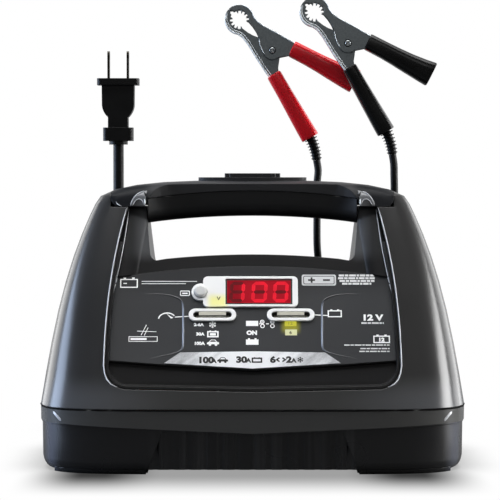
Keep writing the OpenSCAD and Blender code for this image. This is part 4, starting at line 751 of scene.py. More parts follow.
# From the coils along the bench and up the back of the case
MAINS_UP = [(-138.5, 166, 4.1), (-137.5, 157, 3.6), (-135.5, 148, 3.6), (-133, 140, 3.6),
            (-130.5, 133, 3.7), (-128, 126, 5), (-125.5, 119, 8), (-123.5, 113, 12.8),
            (-122, 108, 19), (-120.5, 102.5, 28.5), (-118.5, 96, 39.5), (-116, 88.4, 51.5),
            (-113, 79.7, 64.5), (-110, 72.6, 78), (-106.5, 65.2, 94), (-103, 57.5, 110),
            (-99, 49.7, 126), (-95, 42.8, 140), (-92.3, 39, 148), (-89.8, 36.6, 154),
            (-88.7, 35.5, 160), (-88.7, 35.5, 168), (-88.7, 35.5, 178), (-88.7, 35.5, 188),
            (-88.7, 35.5, 203.5)]
RED_UP = [(50, 147, 3.1), (50, 139, 2.6), (49.5, 131, 2.6), (49, 123.5, 3.6), (48.5, 116.5, 6.3),
          (48.3, 110.5, 10.8), (48, 105.8, 17), (47.8, 102.2, 24.5), (47.6, 100, 33),
          (47.4, 97.6, 42), (47, 90.8, 54), (46.5, 82.3, 70), (46, 73.8, 86), (45.5, 65.3, 102),
          (44.8, 57.4, 117), (44, 52.3, 127.5), (43.4, 50.4, 135), (43.2, 50, 142),
          (43.2, 50, 156), (43.1, 50, 168), (43.1, 50, 174), (43.4, 50, 180)]
BLACK_UP = [(131, 147, 3.2), (130, 139, 2.6), (128.5, 131, 2.6), (126.5, 123, 2.6),
            (124.5, 115.5, 3.2), (122.5, 108.5, 5.4), (121, 102.5, 9.5), (119.8, 97.5, 15.5),
            (118.7, 93.8, 23), (117.7, 90.8, 31.5), (116.8, 88.2, 41), (114.5, 82.2, 54),
            (111.5, 74.9, 70), (108.5, 67.4, 86), (105.5, 59.7, 102), (102, 52, 118),
            (98.5, 44.1, 134), (96, 38.1, 146), (94.4, 33.9, 154), (93.9, 32.4, 160),
            (93.9, 32.4, 169), (93.8, 31.9, 177), (93.6, 31.4, 184)]

COIL_LAYERS = 2
COIL_STEPS = 24


def coil_points(turns, d, mean_r, x, y, side):
    """A cord piled in two layers, from the top layer's outside to the bottom layer's outside."""
    per_layer, pitch, foot = turns / COIL_LAYERS, d + 0.6, d / 2 + 1.1
    outer = mean_r + per_layer * pitch / 2
    points = [(outer, -d, foot + pitch * (COIL_LAYERS - 1))]
    for i in range(round(turns * COIL_STEPS) + 1):
        t = i / COIL_STEPS
        s = t / per_layer
        r = mean_r + per_layer * pitch * (abs(1 - s % 2) - 0.5)
        k = math.floor(s + 0.5)
        late = t - k * per_layer
        if k == 0 or k == COIL_LAYERS:
            down = max(0, k - 1)
        else:
            down = k - 1 + min(1, max(0, 0.5 + late / 0.5))
        a = math.tau * t
        points.append((r * math.cos(a), r * math.sin(a), foot + pitch * (COIL_LAYERS - 1 - down)))
    points.append((-outer, -d, foot))
    return [(x + side * p[0], y + p[1], p[2]) for p in points]


def boot_frame(colour, t):
    """Centre, direction and side vector of a boot, from the grip at 0 to the lead at 1."""
    start = clamp_matrix(colour) @ Vector(
        (-(LEAD_GRIP_TO - BOOT_IN) * math.cos(ARM_ANGLE),
         -(9.6 + (LEAD_GRIP_TO - BOOT_IN - 8) * math.sin(ARM_ANGLE)), 0))
    radius = BOOT_LENGTH * MM / BOOT_TURN
    a0 = CLAMP_ANGLE + math.pi - ARM_ANGLE
    a1 = a0 - BOOT_TURN * t
    turned = Vector((math.sin(a0) - math.sin(a1), 0, math.cos(a1) - math.cos(a0)))
    along = Vector((math.cos(a1), 0, math.sin(a1)))
    return start + turned * radius, along, Vector((-math.sin(a1), 0, math.cos(a1)))


def lead_foot(colour):
    """The lead's last two points, in line with the end of its boot, in millimetres."""
    foot = boot_frame(colour, 1)[0]
    back = (foot - boot_frame(colour, 5 / 6)[0]).normalized()
    return [tuple((foot + back * 7 * MM) / MM), tuple(foot / MM)]


def cord_piece(name, out, coil, up, d, material, nodes, step):
    """One cord as a single smooth curve, through its coil to its far end."""
    first, last = Vector(coil[0]), Vector(coil[-1])
    route = [Vector(p) for p in out] + [first - Vector((0, step[0], 0))]
    route += [Vector(p) for p in coil] + [last - Vector((0, step[1], 0))] + [Vector(p) for p in up]
    data = bpy.data.curves.new(name, "CURVE")
    data.dimensions = "3D"
    data.bevel_depth = d / 2
    data.bevel_resolution = 4
    data.resolution_u = 3
    data.use_fill_caps = True
    spline = data.splines.new("BEZIER")
    spline.bezier_points.add(len(route) - 1)
    for point, place in zip(spline.bezier_points, route):
        point.co = place * MM
        point.handle_left_type = point.handle_right_type = "AUTO"
    cord = bpy.data.objects.new(name, data)
    bpy.context.scene.collection.objects.link(cord)
    data.materials.append(material)
    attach(cord, "charger")
    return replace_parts(cord, *nodes)


class CHARGER_OT_leads(bpy.types.Operator):
    """Lays the mains cord and the two battery leads, each with its coil"""

    bl_idname = "charger.leads"
    bl_label = "Leads"

    def execute(self, context):
        sizes = context.scene.charger_sizes
        jacket = MATERIALS["cord_jacket"]
        mains = cord_piece("mains_lead", MAINS_OUT, coil_points(6.5, 7, 36.5, -90, 190, 1),
                           MAINS_UP, sizes.mains_d, jacket,
                           ["mains_cord", "mains_coil"], (6, 8))
        red = cord_piece("red_battery_lead", RED_OUT, coil_points(6.5, 5, 28, 13, 166, -1),
                         RED_UP + lead_foot("red"), sizes.lead_d, jacket,
                         ["red_lead", "red_coil"], (5, 6))
        black = cord_piece("black_battery_lead", BLACK_OUT, coil_points(6.5, 5, 28, 94, 166, -1),
                           BLACK_UP + lead_foot("black"), sizes.lead_d, jacket,
                           ["black_lead", "black_coil"], (5, 6))
        return {"FINISHED"}


# ---------- clamps ----------

CLAMP_PARTS = ["lead_arm", "lead_grip", "spring", "free_arm", "free_grip"]
# How far in front of a clamp, in millimetres, its rays start
CLAMP_AWAY = 40
# Where marks lie on the front cheek: just inside half the rivet's length
CHEEK_FACE = -RIVET_HALF + 0.05


class CHARGER_OT_clamps(bpy.types.Operator):
    """Finishes both spring clamps and makes their boots and rivets"""

    bl_idname = "charger.clamps"
    bl_label = "Clamps"

    def execute(self, context):
        sizes = context.scene.charger_sizes
        boots, rivets = [], []
        for colour in ("red", "black"):
            for part in CLAMP_PARTS:
                piece = finished(f"{colour}_{part}", sharp=40, rides=part != "spring")
                if part == "spring":
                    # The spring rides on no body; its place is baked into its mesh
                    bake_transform(piece)
            boots.append(self.boot(colour, sizes))
            rivets.append(self.rivet(colour))
            self.back_edge(colour, "lead_arm", "outer_edge", -1, -13, 52, 0.6, 0.5)
            self.back_edge(colour, "lead_arm", "inner_edge", -1, -13, 46, 0.34, 2.0)
            self.back_edge(colour, "free_arm", "outer_edge", 1, -13, 50, 0.4, 0.3)
            self.throat_edge(colour)
        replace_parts(boots[0], "lead_boots")
        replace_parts(rivets[0], "clamp_rivets")
        return {"FINISHED"}

    def boot(self, colour, sizes):
        """A ribbed boot: a profile spun round a straight axis, then bent along the boot's line."""
        r, top = sizes.boot_r / MM, 4.3
        profile = [(0, 0), (r, 0)]
        start, rib, pitch = 4.56, 0.9, 2.22
        for i in range(sizes.boot_ribs):
            z = start + i * pitch
            out = top - i * 0.14
            profile += [(r, z - rib / 2), (out, z - rib / 2 + 0.12), (out, z + rib / 2 - 0.12),
                        (r, z + rib / 2)]
        profile += [(r, BOOT_LENGTH - 0.3), (r - 0.15, BOOT_LENGTH), (0, BOOT_LENGTH)]
        bm = spun(profile, 28)
        for vert in bm.verts:
            centre, _, side = boot_frame(colour, vert.co.z / BOOT_LENGTH)
            vert.co = centre + side * vert.co.x * MM + Vector((0, vert.co.y * MM, 0))
        bmesh.ops.recalc_face_normals(bm, faces=bm.faces)
        mesh = mesh_of(colour + "_boot", bm, sharp=50)
        return place_piece(colour + "_boot", mesh, "charger", MATERIALS["plug_plastic"])

    def back_edge(self, colour, part, name, side, start, end, radius, inward, steps=60):
        """A painted highlight along the edge where an arm's back is bent into its cheek."""
        to_clamp, from_clamp = clamp_matrix(colour).inverted(), clamp_matrix(colour)
        rays = rays_at(f"{colour}_{part}", to_clamp)
        points = []
        for i in range(steps + 1):
            x = start + (end - start) * i / steps
            back = rays.ray_cast(Vector((x, side * 60, 0)), Vector((0, -side, 0)))[0]
            if back is None:
                continue
            under = Vector((x, back.y - side * (inward + 0.3), -CLAMP_AWAY))
            face = rays.ray_cast(under, Vector((0, 0, 1)))[0]
            if face is not None and face.z < -3:
                edge = Vector((x, back.y - side * inward, face.z + radius * 0.4))
                points.append(from_clamp @ edge / MM)
        return bead(f"{colour}_{part}_{name}", points, radius, MATERIALS["bright_edge"],
                    body=body_of(f"{colour}_{part}"))

    def throat_edge(self, colour):
        """A painted highlight along the sheared edge of the outer cheek at the throat."""
        part = next(p for p in ("free_arm", "lead_arm") if self.reach(colour, p, 5, -4.2) < -5.8)
        line = [(11.5, -0.6), (10.2, -1.6), (8.7, -2.7), (6.8, -3.7), (4.9, -4.6), (3.2, -5.1),
                (1.6, -5.4)]
        points = [clamp_matrix(colour) @ Vector((x, y, CHEEK_FACE)) / MM for x, y in line]
        return bead(f"{colour}_throat_edge", points, 0.26, MATERIALS["bright_edge"],
                    body=body_of(f"{colour}_{part}"))

    def reach(self, colour, part, x, y):
        """How near the front an arm comes at a place of the clamp, in millimetres."""
        rays = rays_at(f"{colour}_{part}", clamp_matrix(colour).inverted())
        found = rays.ray_cast(Vector((x, y, -CLAMP_AWAY)), Vector((0, 0, 1)))[0]
        return 0 if found is None else found.z

    def rivet(self, colour):
        """A tubular rivet: domed heads with a dished middle on both cheeks."""
        profile = [(0, -0.3), (0.9, -0.3), (1.05, 0.4), (1.3, 0.7), (1.6, 0.6), (1.85, 0.3),
                   (1.95, 0.05), (1.95, 0.0), (1.6, 0.0)]
        head = [(x, RIVET_HALF + 0.05 + z) for x, z in profile]
        line = head + [(x, -z) for x, z in reversed(head)]
        bm = spun(line, 32)
        bmesh.ops.transform(bm, matrix=clamp_matrix(colour), verts=bm.verts)
        bmesh.ops.recalc_face_normals(bm, faces=bm.faces)
        # A near-black ring round each rivet head: painted shadow
        turns = [math.tau * k / 24 for k in range(24)]
        circle = [clamp_matrix(colour) @ Vector((2.2 * math.cos(a), 2.2 * math.sin(a), CHEEK_FACE))
                  / MM for a in turns]
        bead(colour + "_rivet_painted_shadow", circle, 0.24, MATERIALS["joint"], closed=True)
        mesh = mesh_of(colour + "_rivet", bm)
        return place_piece(colour + "_rivet", mesh, "charger", MATERIALS["rivet_steel"])


# ---------- case ----------


class CHARGER_OT_case(bpy.types.Operator):
    """Finishes the tray, the housing, the fascia, the handle and the mains plug"""

    bl_idname = "charger.case"
    bl_label = "Case"

    def execute(self, context):
        for node in ("base_tray", "upper_housing", "handle_grip", "cord_clips",
                     "rubber_feet", "case_screws", "mains_strain_relief", "lead_grommets",
                     "plug_body", "plug_blades"):
            finished(node)
        finished("front_fascia", material=MATERIALS["fascia"])
        finished("handle_cover", material=MATERIALS["cover"])
        return {"FINISHED"}


class CHARGER_OT_inside(bpy.types.Operator):
    """Gives the parts inside the case their finishes"""

    bl_idname = "charger.inside"
    bl_label = "Inside"

    def execute(self, context):
        paint("control_board", "digit_display", "key_switches", "indicator_leds", "board_screws",
              "power_board", "capacitors", "relay", "heat_sink", "rectifiers", "transformer_core",
              "transformer_bobbin", "transformer_winding", "transformer_bolts", "fan_frame",
              "fan_rotor", "circuit_breaker", "coil_ties")
        return {"FINISHED"}


class CHARGER_OT_panel(bpy.types.Operator):
    """Finishes the label, the silver strip, the display and the keys"""

    bl_idname = "charger.panel"
    bl_label = "Panel"

    def execute(self, context):
        for node in ("panel_label", "rating_strip", "display_bezel", "display_window",
                     "key_surrounds", "display_button", "rate_key", "type_key"):
            finished(node)
        for node in ("rate_key", "type_key"):
            self.foot(node)
        return {"FINISHED"}

    def foot(self, node):
        """A painted shadow under a push bar, drawn in ink along the foot of its face."""
        to_panel = panel_matrix().inverted()
        places = [to_panel @ v.co for v in frame["nodes"][node].data.vertices]
        top = max(p.z for p in places)
        face = [p for p in places if p.z > top - 0.05]
        x0, x1, y0 = min(p.x for p in face), max(p.x for p in face), min(p.y for p in face)
        # Dark ink along the bar's foot stands for shade: a painted shadow
        printed(node + "_foot", drawn([(bar, x0 + 0.1, y0 + 0.05, x1 - 0.1, y0 + 0.85)]), top,
                ink(node + "_shade", "#14140f"), body_of(node))


# ---------- edges of the recess and the arches of the handle cover ----------

# The recess's foot and top, in millimetres, and half its width at the foot
RECESS_FOOT_Z = 65.6
PILLAR_Z = 163.2
RECESS_HALF = 91.6


def recess_edge(z):
    """Half the width of the panel's recess at a height."""
    rise = max(0, z - RECESS_FOOT_Z) / (PILLAR_Z - RECESS_FOOT_Z)
    return RECESS_HALF - 12.1 * rise ** 2.2


def front_of(node):
    """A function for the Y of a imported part's front face at an X and a Z, in millimetres."""
    rays = rays_at(node)

    def hit(x, z):
        found = rays.ray_cast(Vector((x, -200, z)) * MM, Vector((0, 1, 0)))[0]
        return None if found is None else found.y / MM

    return hit


def bead(name, points, radius, material, body="charger", up=(0, 1, 0), closed=False):
    """A round bead along points in millimetres, tapered at both ends unless it is closed."""
    bm = bmesh.new()
    rows = []
    last = len(points) - 1
    for i, here in enumerate(points):
        after = points[(i + 1) % len(points)] if closed else points[min(i + 1, last)]
        before = points[i - 1] if closed else points[max(i - 1, 0)]
        run = (after - before).normalized()
        side = run.cross(Vector(up)).normalized()
        out = side.cross(run)
        r = radius * (0.2 if i in (0, last) and not closed else 1.0)
        rows.append([bm.verts.new((here + (side * math.cos(a) + out * math.sin(a)) * r) * MM)
                     for a in (math.tau * k / 8 for k in range(8))])
    skin(bm, rows, closed)
    return place_piece(name, mesh_of(name, bm, sharp=80), body, material)


def outline_at(node, z, steps=96):
    """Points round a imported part's outside at a height, in millimetres."""
    rays, far = rays_at(node), 200
    points = []
    for i in range(steps):
        a = math.tau * i / steps
        # The rays leave a rounded rectangle's centre line, so the corners are cut squarely
        out = Vector((math.cos(a), math.sin(a), 0))
        core = Vector((max(-90, min(90, far * out.x)), max(-50, min(50, far * out.y)), z))
        found = rays.ray_cast((core + out * far) * MM, -out)[0]
        if found is not None:
            points.append(found / MM)
    return points


class CHARGER_OT_edges(bpy.types.Operator):
    """Makes the pale edges round the panel's recess and the arches at the handle's ends, as painted
    highlights
    """

    bl_idname = "charger.edges"
    bl_label = "Edges"

    def execute(self, context):
        housing, fascia, cover, tray = map(front_of, ("upper_housing", "front_fascia",
                                                      "handle_cover", "base_tray"))
        pale = MATERIALS["edge_plastic"]
        heights = [162.6, 156, 149, 142, 135, 128, 121, 114, 107, 100, 93, 86, 79, 72, 66]
        corner = [(-0.5, 62), (-1.9, 58.6), (-4.4, 55.8), (-8, 54), (-13, 52.9)]
        for side, hand in ((-1, "left"), (1, "right")):
            # Pale beads round the recess: painted highlights
            rim = [(recess_edge(z) + 0.5, z) for z in heights]
            rim += [(RECESS_HALF + dx + 0.2, z - 0.5) for dx, z in corner]
            self.line(f"{hand}_recess_edge", side, rim, housing, 0.36, pale)
            # Pale beads up the inner edges of the pillars: painted highlights
            inner = [(recess_edge(z) - d, z) for z, d in
                     ((162.2, 1.0), (156, 1.8), (149, 2.6), (142, 3.2), (135, 3.4), (128, 3.3),
                      (121, 3.0), (115, 2.6), (110, 2.2))]
            self.line(f"{hand}_pillar_edge", side, inner, fascia, 0.34, pale)
            self.arch(hand, side, cover, pale)
            sill = [(68.8, 169.6), (68.7, 167.8), (68.6, 166), (68.5, 164.2)]
            self.line(f"{hand}_sill_glint", side, sill, cover, 0.5, MATERIALS["bright_edge"])
            self.pad(hand, side, tray)
            band = [(123.4, 38.2), (122.2, 37), (120.4, 35.2), (118.4, 33.2), (116.4, 31.4)]
            self.line(f"{hand}_band_glint", side, band, tray, 1.15, pale, -0.8, "tray_plastic")
        glint = [(87.2, 166.6), (86.4, 165.4), (85, 164.4), (83.2, 163.6)]
        self.line("left_cover_glint", -1, glint, cover, 0.3, pale)
        # A near-black bead round the tray's seam: painted shadow in the joint
        seam = [p + Vector((p.x, p.y, 0)).normalized() * 0.02
                for p in outline_at("base_tray", SEAM_Z - 0.35)]
        bead("seam_painted_shadow", seam, 0.45, MATERIALS["joint"], up=(0, 0, 1),
             closed=True)
        return {"FINISHED"}

    def pad(self, hand, side, front):
        """The flat pad under a front foot of the tray."""
        bm = bmesh.new()
        rows = []
        for x in (65.6, 70, 76, 84, 92, 100, 108, 114, 119, 123):
            y = front(side * x, 3.2)
            rows.append([bm.verts.new(Vector((side * x, y + dy, z)) * MM)
                         for dy, z in ((0.4, 3), (0.9, 0.5), (1.4, 0.1), (24, 0.1), (24, 3))])
        skin(bm, rows)
        place_piece(f"{hand}_foot_pad", mesh_of(f"{hand}_foot_pad", bm, sharp=40), "charger",
                    MATERIALS["tray_plastic"])

    def line(self, name, side, places, front, radius, material, proud=0.05, slot="case_plastic"):
        """A bead on a part's front face, through places given as X and Z."""
        points = []
        for x, z in places:
            y = front(side * x, z)
            if y is not None:
                points.append(Vector((side * x, y - proud, z)))
        return bead(name, points, radius, material)

    def arch(self, hand, side, cover, pale):
        """The moulded arch where a pillar meets the handle cover, with the dark dome in it. The
        arch's pale land and edges are painted highlights.
        """
        outer = [(77.8, 164.2), (77.1, 166.4), (76.1, 168.4), (74.8, 170.2), (73.2, 171.7),
                 (71.4, 172.7), (69.5, 173.4), (67.2, 173.8)]
        inner = [(76.4, 164.1), (75.7, 165.6), (74.9, 166.9), (73.8, 167.9), (72.5, 168.4),
                 (71.1, 168.1), (70, 166.9), (69.0, 164.3)]
        self.line(f"{hand}_arch_edge", side, outer[:7], cover, 0.34, pale)
        self.line(f"{hand}_dome_edge", side, inner, cover, 0.3, pale)
        middle = [((a[0] + b[0]) / 2, (a[1] + b[1]) / 2) for a, b in zip(outer, inner)]
        self.sheet(f"{hand}_arch", side, [(outer, 0.1), (middle, 0.45), (inner, 0.1)], cover,
                   MATERIALS["arch"])
        sill = [(inner[0][0] + (inner[-1][0] - inner[0][0]) * i / 7, 163.7) for i in range(8)]
        self.sheet(f"{hand}_dome", side, [(inner, 0.12), (sill, 0.12)], cover, MATERIALS["fascia"])

    def sheet(self, name, side, lines, front, material):
        """A thin moulded skin over a part's front face, through lines and how proud they are."""
        bm = bmesh.new()
        rows = []
        for places, proud in lines:
            row = []
            for x, z in places:
                y = front(side * x, max(z, 164.0)) or front(side * 75, 166)
                row.append(bm.verts.new(Vector((side * x, y - proud, z)) * MM))
            rows.append(row)
        for a, b in zip(rows, rows[1:]):
            for k in range(len(a) - 1):
                bm.faces.new((a[k], a[k + 1], b[k + 1], b[k]))
        thicken(bm, (0, 0.6 * MM, 0))
        return place_piece(name, mesh_of(name, bm, sharp=50), "charger", material)


# ---------- printed marks ----------


def bar(bm, x0, y0, x1, y1):
    """A filled rectangle."""
    bm.faces.new([bm.verts.new((x, y, 0)) for x, y in ((x0, y0), (x1, y0), (x1, y1), (x0, y1))])


def stroke(bm, points, width, closed=False):
    """A line of even width with mitred corners."""
    line = [Vector(p) for p in points]
    rows = []
    for i, here in enumerate(line):
        before = line[i - 1] if i or closed else None
        after = line[(i + 1) % len(line)] if i + 1 < len(line) or closed else None
        first = (here - before).normalized() if before is not None else None
        second = (after - here).normalized() if after is not None else first
        first = first if first is not None else second
        mean = (first + second).normalized()
        side = Vector((-mean.y, mean.x)) * width / 2 / max(0.4, mean.dot(first))
        rows.append([bm.verts.new((*(here + side), 0)), bm.verts.new((*(here - side), 0))])
    pairs = list(zip(rows, rows[1:])) + ([(rows[-1], rows[0])] if closed else [])
    for a, b in pairs:
        bm.faces.new((a[0], a[1], b[1], b[0]))


def around(x, y, r, steps):
    """Points round a circle."""
    turns = [math.tau * i / steps for i in range(steps)]
    return [(x + r * math.cos(a), y + r * math.sin(a)) for a in turns]


def frame_of(x0, y0, x1, y1, r=0.0, steps=5):
    """The corners of a rectangle with rounded corners."""
    if not r:
        return [(x0, y0), (x1, y0), (x1, y1), (x0, y1)]
    spots = [(x1 - r, y1 - r, 0), (x0 + r, y1 - r, 90), (x0 + r, y0 + r, 180),
             (x1 - r, y0 + r, 270)]
    return [(x + r * math.cos(math.radians(a + 90 * i / steps)),
             y + r * math.sin(math.radians(a + 90 * i / steps)))
            for x, y, a in spots for i in range(steps + 1)]


def filled(bm, points):
    """A filled outline."""
    bm.faces.new([bm.verts.new((*p, 0)) for p in points])


def disc(bm, x, y, r, steps=16):
    """A filled circle."""
    filled(bm, around(x, y, r, steps))


def ring(bm, x, y, r, width, steps=20):
    """A circle's line."""
    stroke(bm, around(x, y, r, steps), width, closed=True)


def word(bm, text, x, y, height, wide=1.0, bold=0.0):
    """Plain figures or letters, their left foot at a point."""
    data = bpy.data.curves.new("figures", "FONT")
    data.body = text
    data.offset = bold
    data.resolution_u = 4
    flat = bpy.data.objects.new("figures", data)
    bpy.context.scene.collection.objects.link(flat)
    graph = bpy.context.evaluated_depsgraph_get()
    mesh = bpy.data.meshes.new_from_object(flat.evaluated_get(graph))
    k = height / 0.69
    mesh.transform(Matrix.Translation((x, y, 0)) @ Matrix.Diagonal((k * wide, k, 1, 1)))
    bm.from_mesh(mesh)
    bpy.data.meshes.remove(mesh)
    bpy.data.objects.remove(flat)
    bpy.data.curves.remove(data)


def snowflake(bm, x, y, r, width):
    """Six arms, each with a pair of twigs."""
    for i in range(6):
        a = math.radians(30 + 60 * i)
        ax, ay = math.cos(a), math.sin(a)
        stroke(bm, [(x, y), (x + r * ax, y + r * ay)], width)
        for turn in (-0.9, 0.9):
            b = a + turn
            foot = (x + 0.6 * r * ax, y + 0.6 * r * ay)
            stroke(bm, [foot, (foot[0] + 0.35 * r * math.cos(b), foot[1] + 0.35 * r * math.sin(b))],
                   width * 0.8)


def battery(bm, x0, y0, x1, y1, width, full=False):
    """A battery seen from its side, with two posts."""
    top = y1 - (y1 - y0) * 0.2
    if full:
        bar(bm, x0, y0, x1, top)
    else:
        stroke(bm, frame_of(x0, y0, x1, top), width, closed=True)
    span = x1 - x0
    for at in (0.16, 0.68):
        bar(bm, x0 + span * at, top, x0 + span * (at + 0.16), y1)


def car(bm, x0, y0, x1, y1):
    """A small car from its side: body, roof line and wheels."""
    w, h = x1 - x0, y1 - y0
    filled(bm, [(x0, y0 + 0.28 * h), (x1, y0 + 0.28 * h), (x1, y0 + 0.58 * h),
                (x0 + 0.8 * w, y0 + 0.66 * h), (x0 + 0.14 * w, y0 + 0.66 * h), (x0, y0 + 0.5 * h)])
    stroke(bm, [(x0 + 0.2 * w, y0 + 0.64 * h), (x0 + 0.34 * w, y0 + 0.95 * h),
                (x0 + 0.66 * w, y0 + 0.95 * h), (x0 + 0.82 * w, y0 + 0.64 * h)], h * 0.1)
    for at in (0.25, 0.75):
        disc(bm, x0 + at * w, y0 + 0.22 * h, 0.2 * h, 10)


def drawn(rows):
    """A bmesh of flat marks, from rows that name a mark and its measures."""
    bm = bmesh.new()
    for mark, *measures in rows:
        mark(bm, *measures)
    return bm


def printed(name, bm, height, material, body="charger", layer=0):
    """Makes flat marks one thin printed piece on the panel, over the layers under it."""
    thick = bpy.context.scene.charger_sizes.ink_t / MM
    thicken(bm, (0, 0, thick))
    mesh = mesh_of(name, bm, panel_matrix(height + layer * thick), sharp=20)
    return place_piece(name, mesh, body, material)


SEGMENTS = {"a": ((0, 2), (1, 2)), "b": ((1, 2), (1, 1)), "c": ((1, 1), (1, 0)),
            "d": ((0, 0), (1, 0)), "e": ((0, 1), (0, 0)), "f": ((0, 2), (0, 1)),
            "g": ((0, 1), (1, 1))}


def digit(lit, unlit, x0, y0, x1, y1, wide, figure):
    """One seven-segment digit, its lit segments in one bmesh and the others in another."""
    for name, (a, b) in SEGMENTS.items():
        bm = lit if name in figure else unlit
        ends = []
        for ux, uy in (a, b):
            y = y0 + wide / 2 + (y1 - y0 - wide) * uy / 2
            ends.append(Vector((x0 + wide / 2 + (x1 - x0 - wide) * ux + (y - y0) * 0.06, y)))
        run = (ends[1] - ends[0]).normalized()
        side = Vector((-run.y, run.x)) * wide / 2
        a1, b1, point = ends[0] + run * 0.05, ends[1] - run * 0.05, run * wide / 2
        filled(bm, [tuple(p) for p in (a1, a1 + point - side, b1 - point - side, b1,
                                       b1 - point + side, a1 + point + side)])


class CHARGER_OT_display(bpy.types.Operator):
    """Makes the digits and the dark edge of the display's window"""

    bl_idname = "charger.display"
    bl_label = "Display"

    def execute(self, context):
        lit, unlit = bmesh.new(), bmesh.new()
        for (x0, x1), figure in zip(((-14.9, -5.2), (-1.1, 8.9), (12.4, 22.2)),
                                    ("bc", "abcdef", "abcdef")):
            digit(lit, unlit, x0, 43.9, x1, 58.2, 2.3, figure)
        edge = drawn([(stroke, frame_of(-16.4, 42.9, 24.4, 59.5), 0.8, True)])
        glow = lamp_light("lit_segments", context.scene.charger_colours.display, 0.95)
        # The unlit segments glow faintly though no lamp lights them: a painted glow
        dull = lamp_light("unlit_segments_painted_glow", linear("#c8122a"), 0.2)
        for name, bm, material in (("lit_digits", lit, glow), ("unlit_digits", unlit, dull),
                                   ("window_edge", edge, ink("black_window_ink", "#060606"))):
            printed(name, bm, WINDOW_TOP, material)
        return {"FINISHED"}


# Each row is a mark and its measures, in panel millimetres
SYMBOLS = [
    (battery, 47.4, 34.5, 55.5, 39.5, 0.75),
    (stroke, [(39, 35.7), (47.2, 35.3)], 0.6),
    # A dial's arc, its pointer and a line, then a small box with a bar in it
    (stroke, [(-53.4 + 5.4 * math.cos(math.radians(a)), 32.8 + 4.2 * math.sin(math.radians(a)))
              for a in range(35, 176, 14)], 0.75),
    (filled, [(-49.6, 33.7), (-54, 36.6), (-51, 33.2)]),
    (stroke, [(-48.6, 34.2), (-39.8, 34.8)], 0.6),
    (stroke, frame_of(-45.3, 49.1, -39.7, 52.2, 0.5), 0.55, True),
    (stroke, [(-44.2, 50.6), (-40.8, 50.6)], 0.9),
    # Snowflake, battery and car, one above another
    (snowflake, -25, 29.1, 2.3, 0.75),
    (battery, -27.9, 20.8, -21.6, 25, 0.9),
    (bar, -26.6, 21.6, -22.9, 23.2),
    (car, -28.4, 14.4, -20.9, 18.8),
    # A plate and a full battery, then four rings with a disc and lines among them
    (bar, -4.1, 28.1, 3.5, 31.6),
    (battery, -4.1, 15.3, 3.7, 19.8, 0.5, True),
    *((ring, x, y, 1.15, 0.6) for x, y in ((6, 30.9), (12.4, 30.9), (6.2, 28.1), (12.4, 28.1))),
    (disc, 6, 30.9, 0.5),
    (stroke, [(11.5, 30.9), (13.3, 30.9)], 0.6),
    (stroke, [(4, 29.6), (4.9, 29.6)], 0.6),
    (stroke, [(8.4, 29.6), (10.2, 29.6)], 0.7),
    # The battery at the right, a box and three slanting lines at the left, and a battery over them
    (battery, 75.6, 16.8, 85.2, 22.2, 0.75),
    (stroke, frame_of(-77, 17.6, -59.4, 20.8), 0.4, True),
    (bar, -76, 18.5, -66, 19.9),
    (stroke, [(-72, 24.6), (-60, 24.2)], 0.4),
    (stroke, [(-69.5, 21.8), (-66.3, 28.8)], 0.4),
    (stroke, [(-67.5, 21.6), (-65.2, 27)], 0.4),
    (battery, -83, 54.8, -72.6, 61.6, 0.7),
    (stroke, [(-81.3, 57.5), (-79.1, 57.5)], 0.6),
]
FIGURES = [
    (word, "2-6A", -36.6, 28.1, 1.9, 1.1, 0.06),
    (word, "30A", -35.2, 21.7, 1.9, 1.1, 0.06),
    (word, "100A", -36.4, 15.3, 1.9, 1.1, 0.06),
    (word, "ON", -3.7, 22.2, 2.6, 1.08, 0.07),
    (word, "12 V", 68.4, 32, 3.8, 1.25, 0.05),
    (word, "12", 78.3, 17.6, 2.4, 1.1, 0.06),
]
# Start, end, height up the panel and thickness of each rule
RULES = [(57, 85.2, 15.1, 0.8), (67, 85.2, 12.7, 0.8), (66.4, 85.2, 10.8, 0.8),
         (68, 82, 30.1, 1.1), (54.4, 76.6, 63, 1.35), (53.9, 77, 61.1, 1.35),
         (54.8, 76.8, 59.2, 1.35), (56.4, 74.8, 57.3, 1.35), (-69.8, -35, 58.9, 0.5),
         (-69.8, -42, 57.3, 0.5)]
STRIP = [
    (word, "100", -34, 2.9, 3.8, 1.2, 0.06),
    (word, "A", -25.5, 2.9, 2.7, 1.15, 0.05),
    (car, -21.9, 2.7, -15.2, 6.6),
    (word, "30", -10.2, 3.2, 3.8, 1.2, 0.06),
    (word, "A", -4, 3.2, 2.7, 1.1, 0.05),
    (battery, -0.1, 3.4, 5.5, 6.6, 0.95),
    (word, "6", 10.9, 3.2, 3.8, 1.22, 0.06),
    *((stroke, [(x + tip, 6.3), (x, 5), (x + tip, 3.7)], 0.95) for x, tip in
      ((14.9, 1.8), (20.3, -1.8))),
    (word, "2", 20.9, 3.2, 3.8, 1.22, 0.06),
    (word, "A", 24.1, 3.2, 2.7, 1.1, 0.05),
    (snowflake, 29.6, 5, 1.9, 0.5),
]
# The figure on the lit lamp's window, and those on the unlit one and on the display's surround
LIT_FIGURE = [(word, "12", 21.8, 29, 1.9, 1.2, 0.01)]
DARK_FIGURES = [
    (word, "6", 22.9, 22.7, 1.9, 1.2, 0.02),
    (word, "V", -22.4, 45.2, 2.3, 1.1, 0.02),
]
BADGE = [(filled, frame_of(31, 56, 52.6, 63.6, 1.2))]
SIGNS = [
    (stroke, frame_of(32.2, 57.1, 51.4, 62.5, 0.8), 0.45, True),
    (bar, 35, 59.2, 39.4, 60.4),
    (bar, 36.6, 57.9, 37.8, 61.7),
    (bar, 44.4, 59.2, 48.8, 60.4),
]


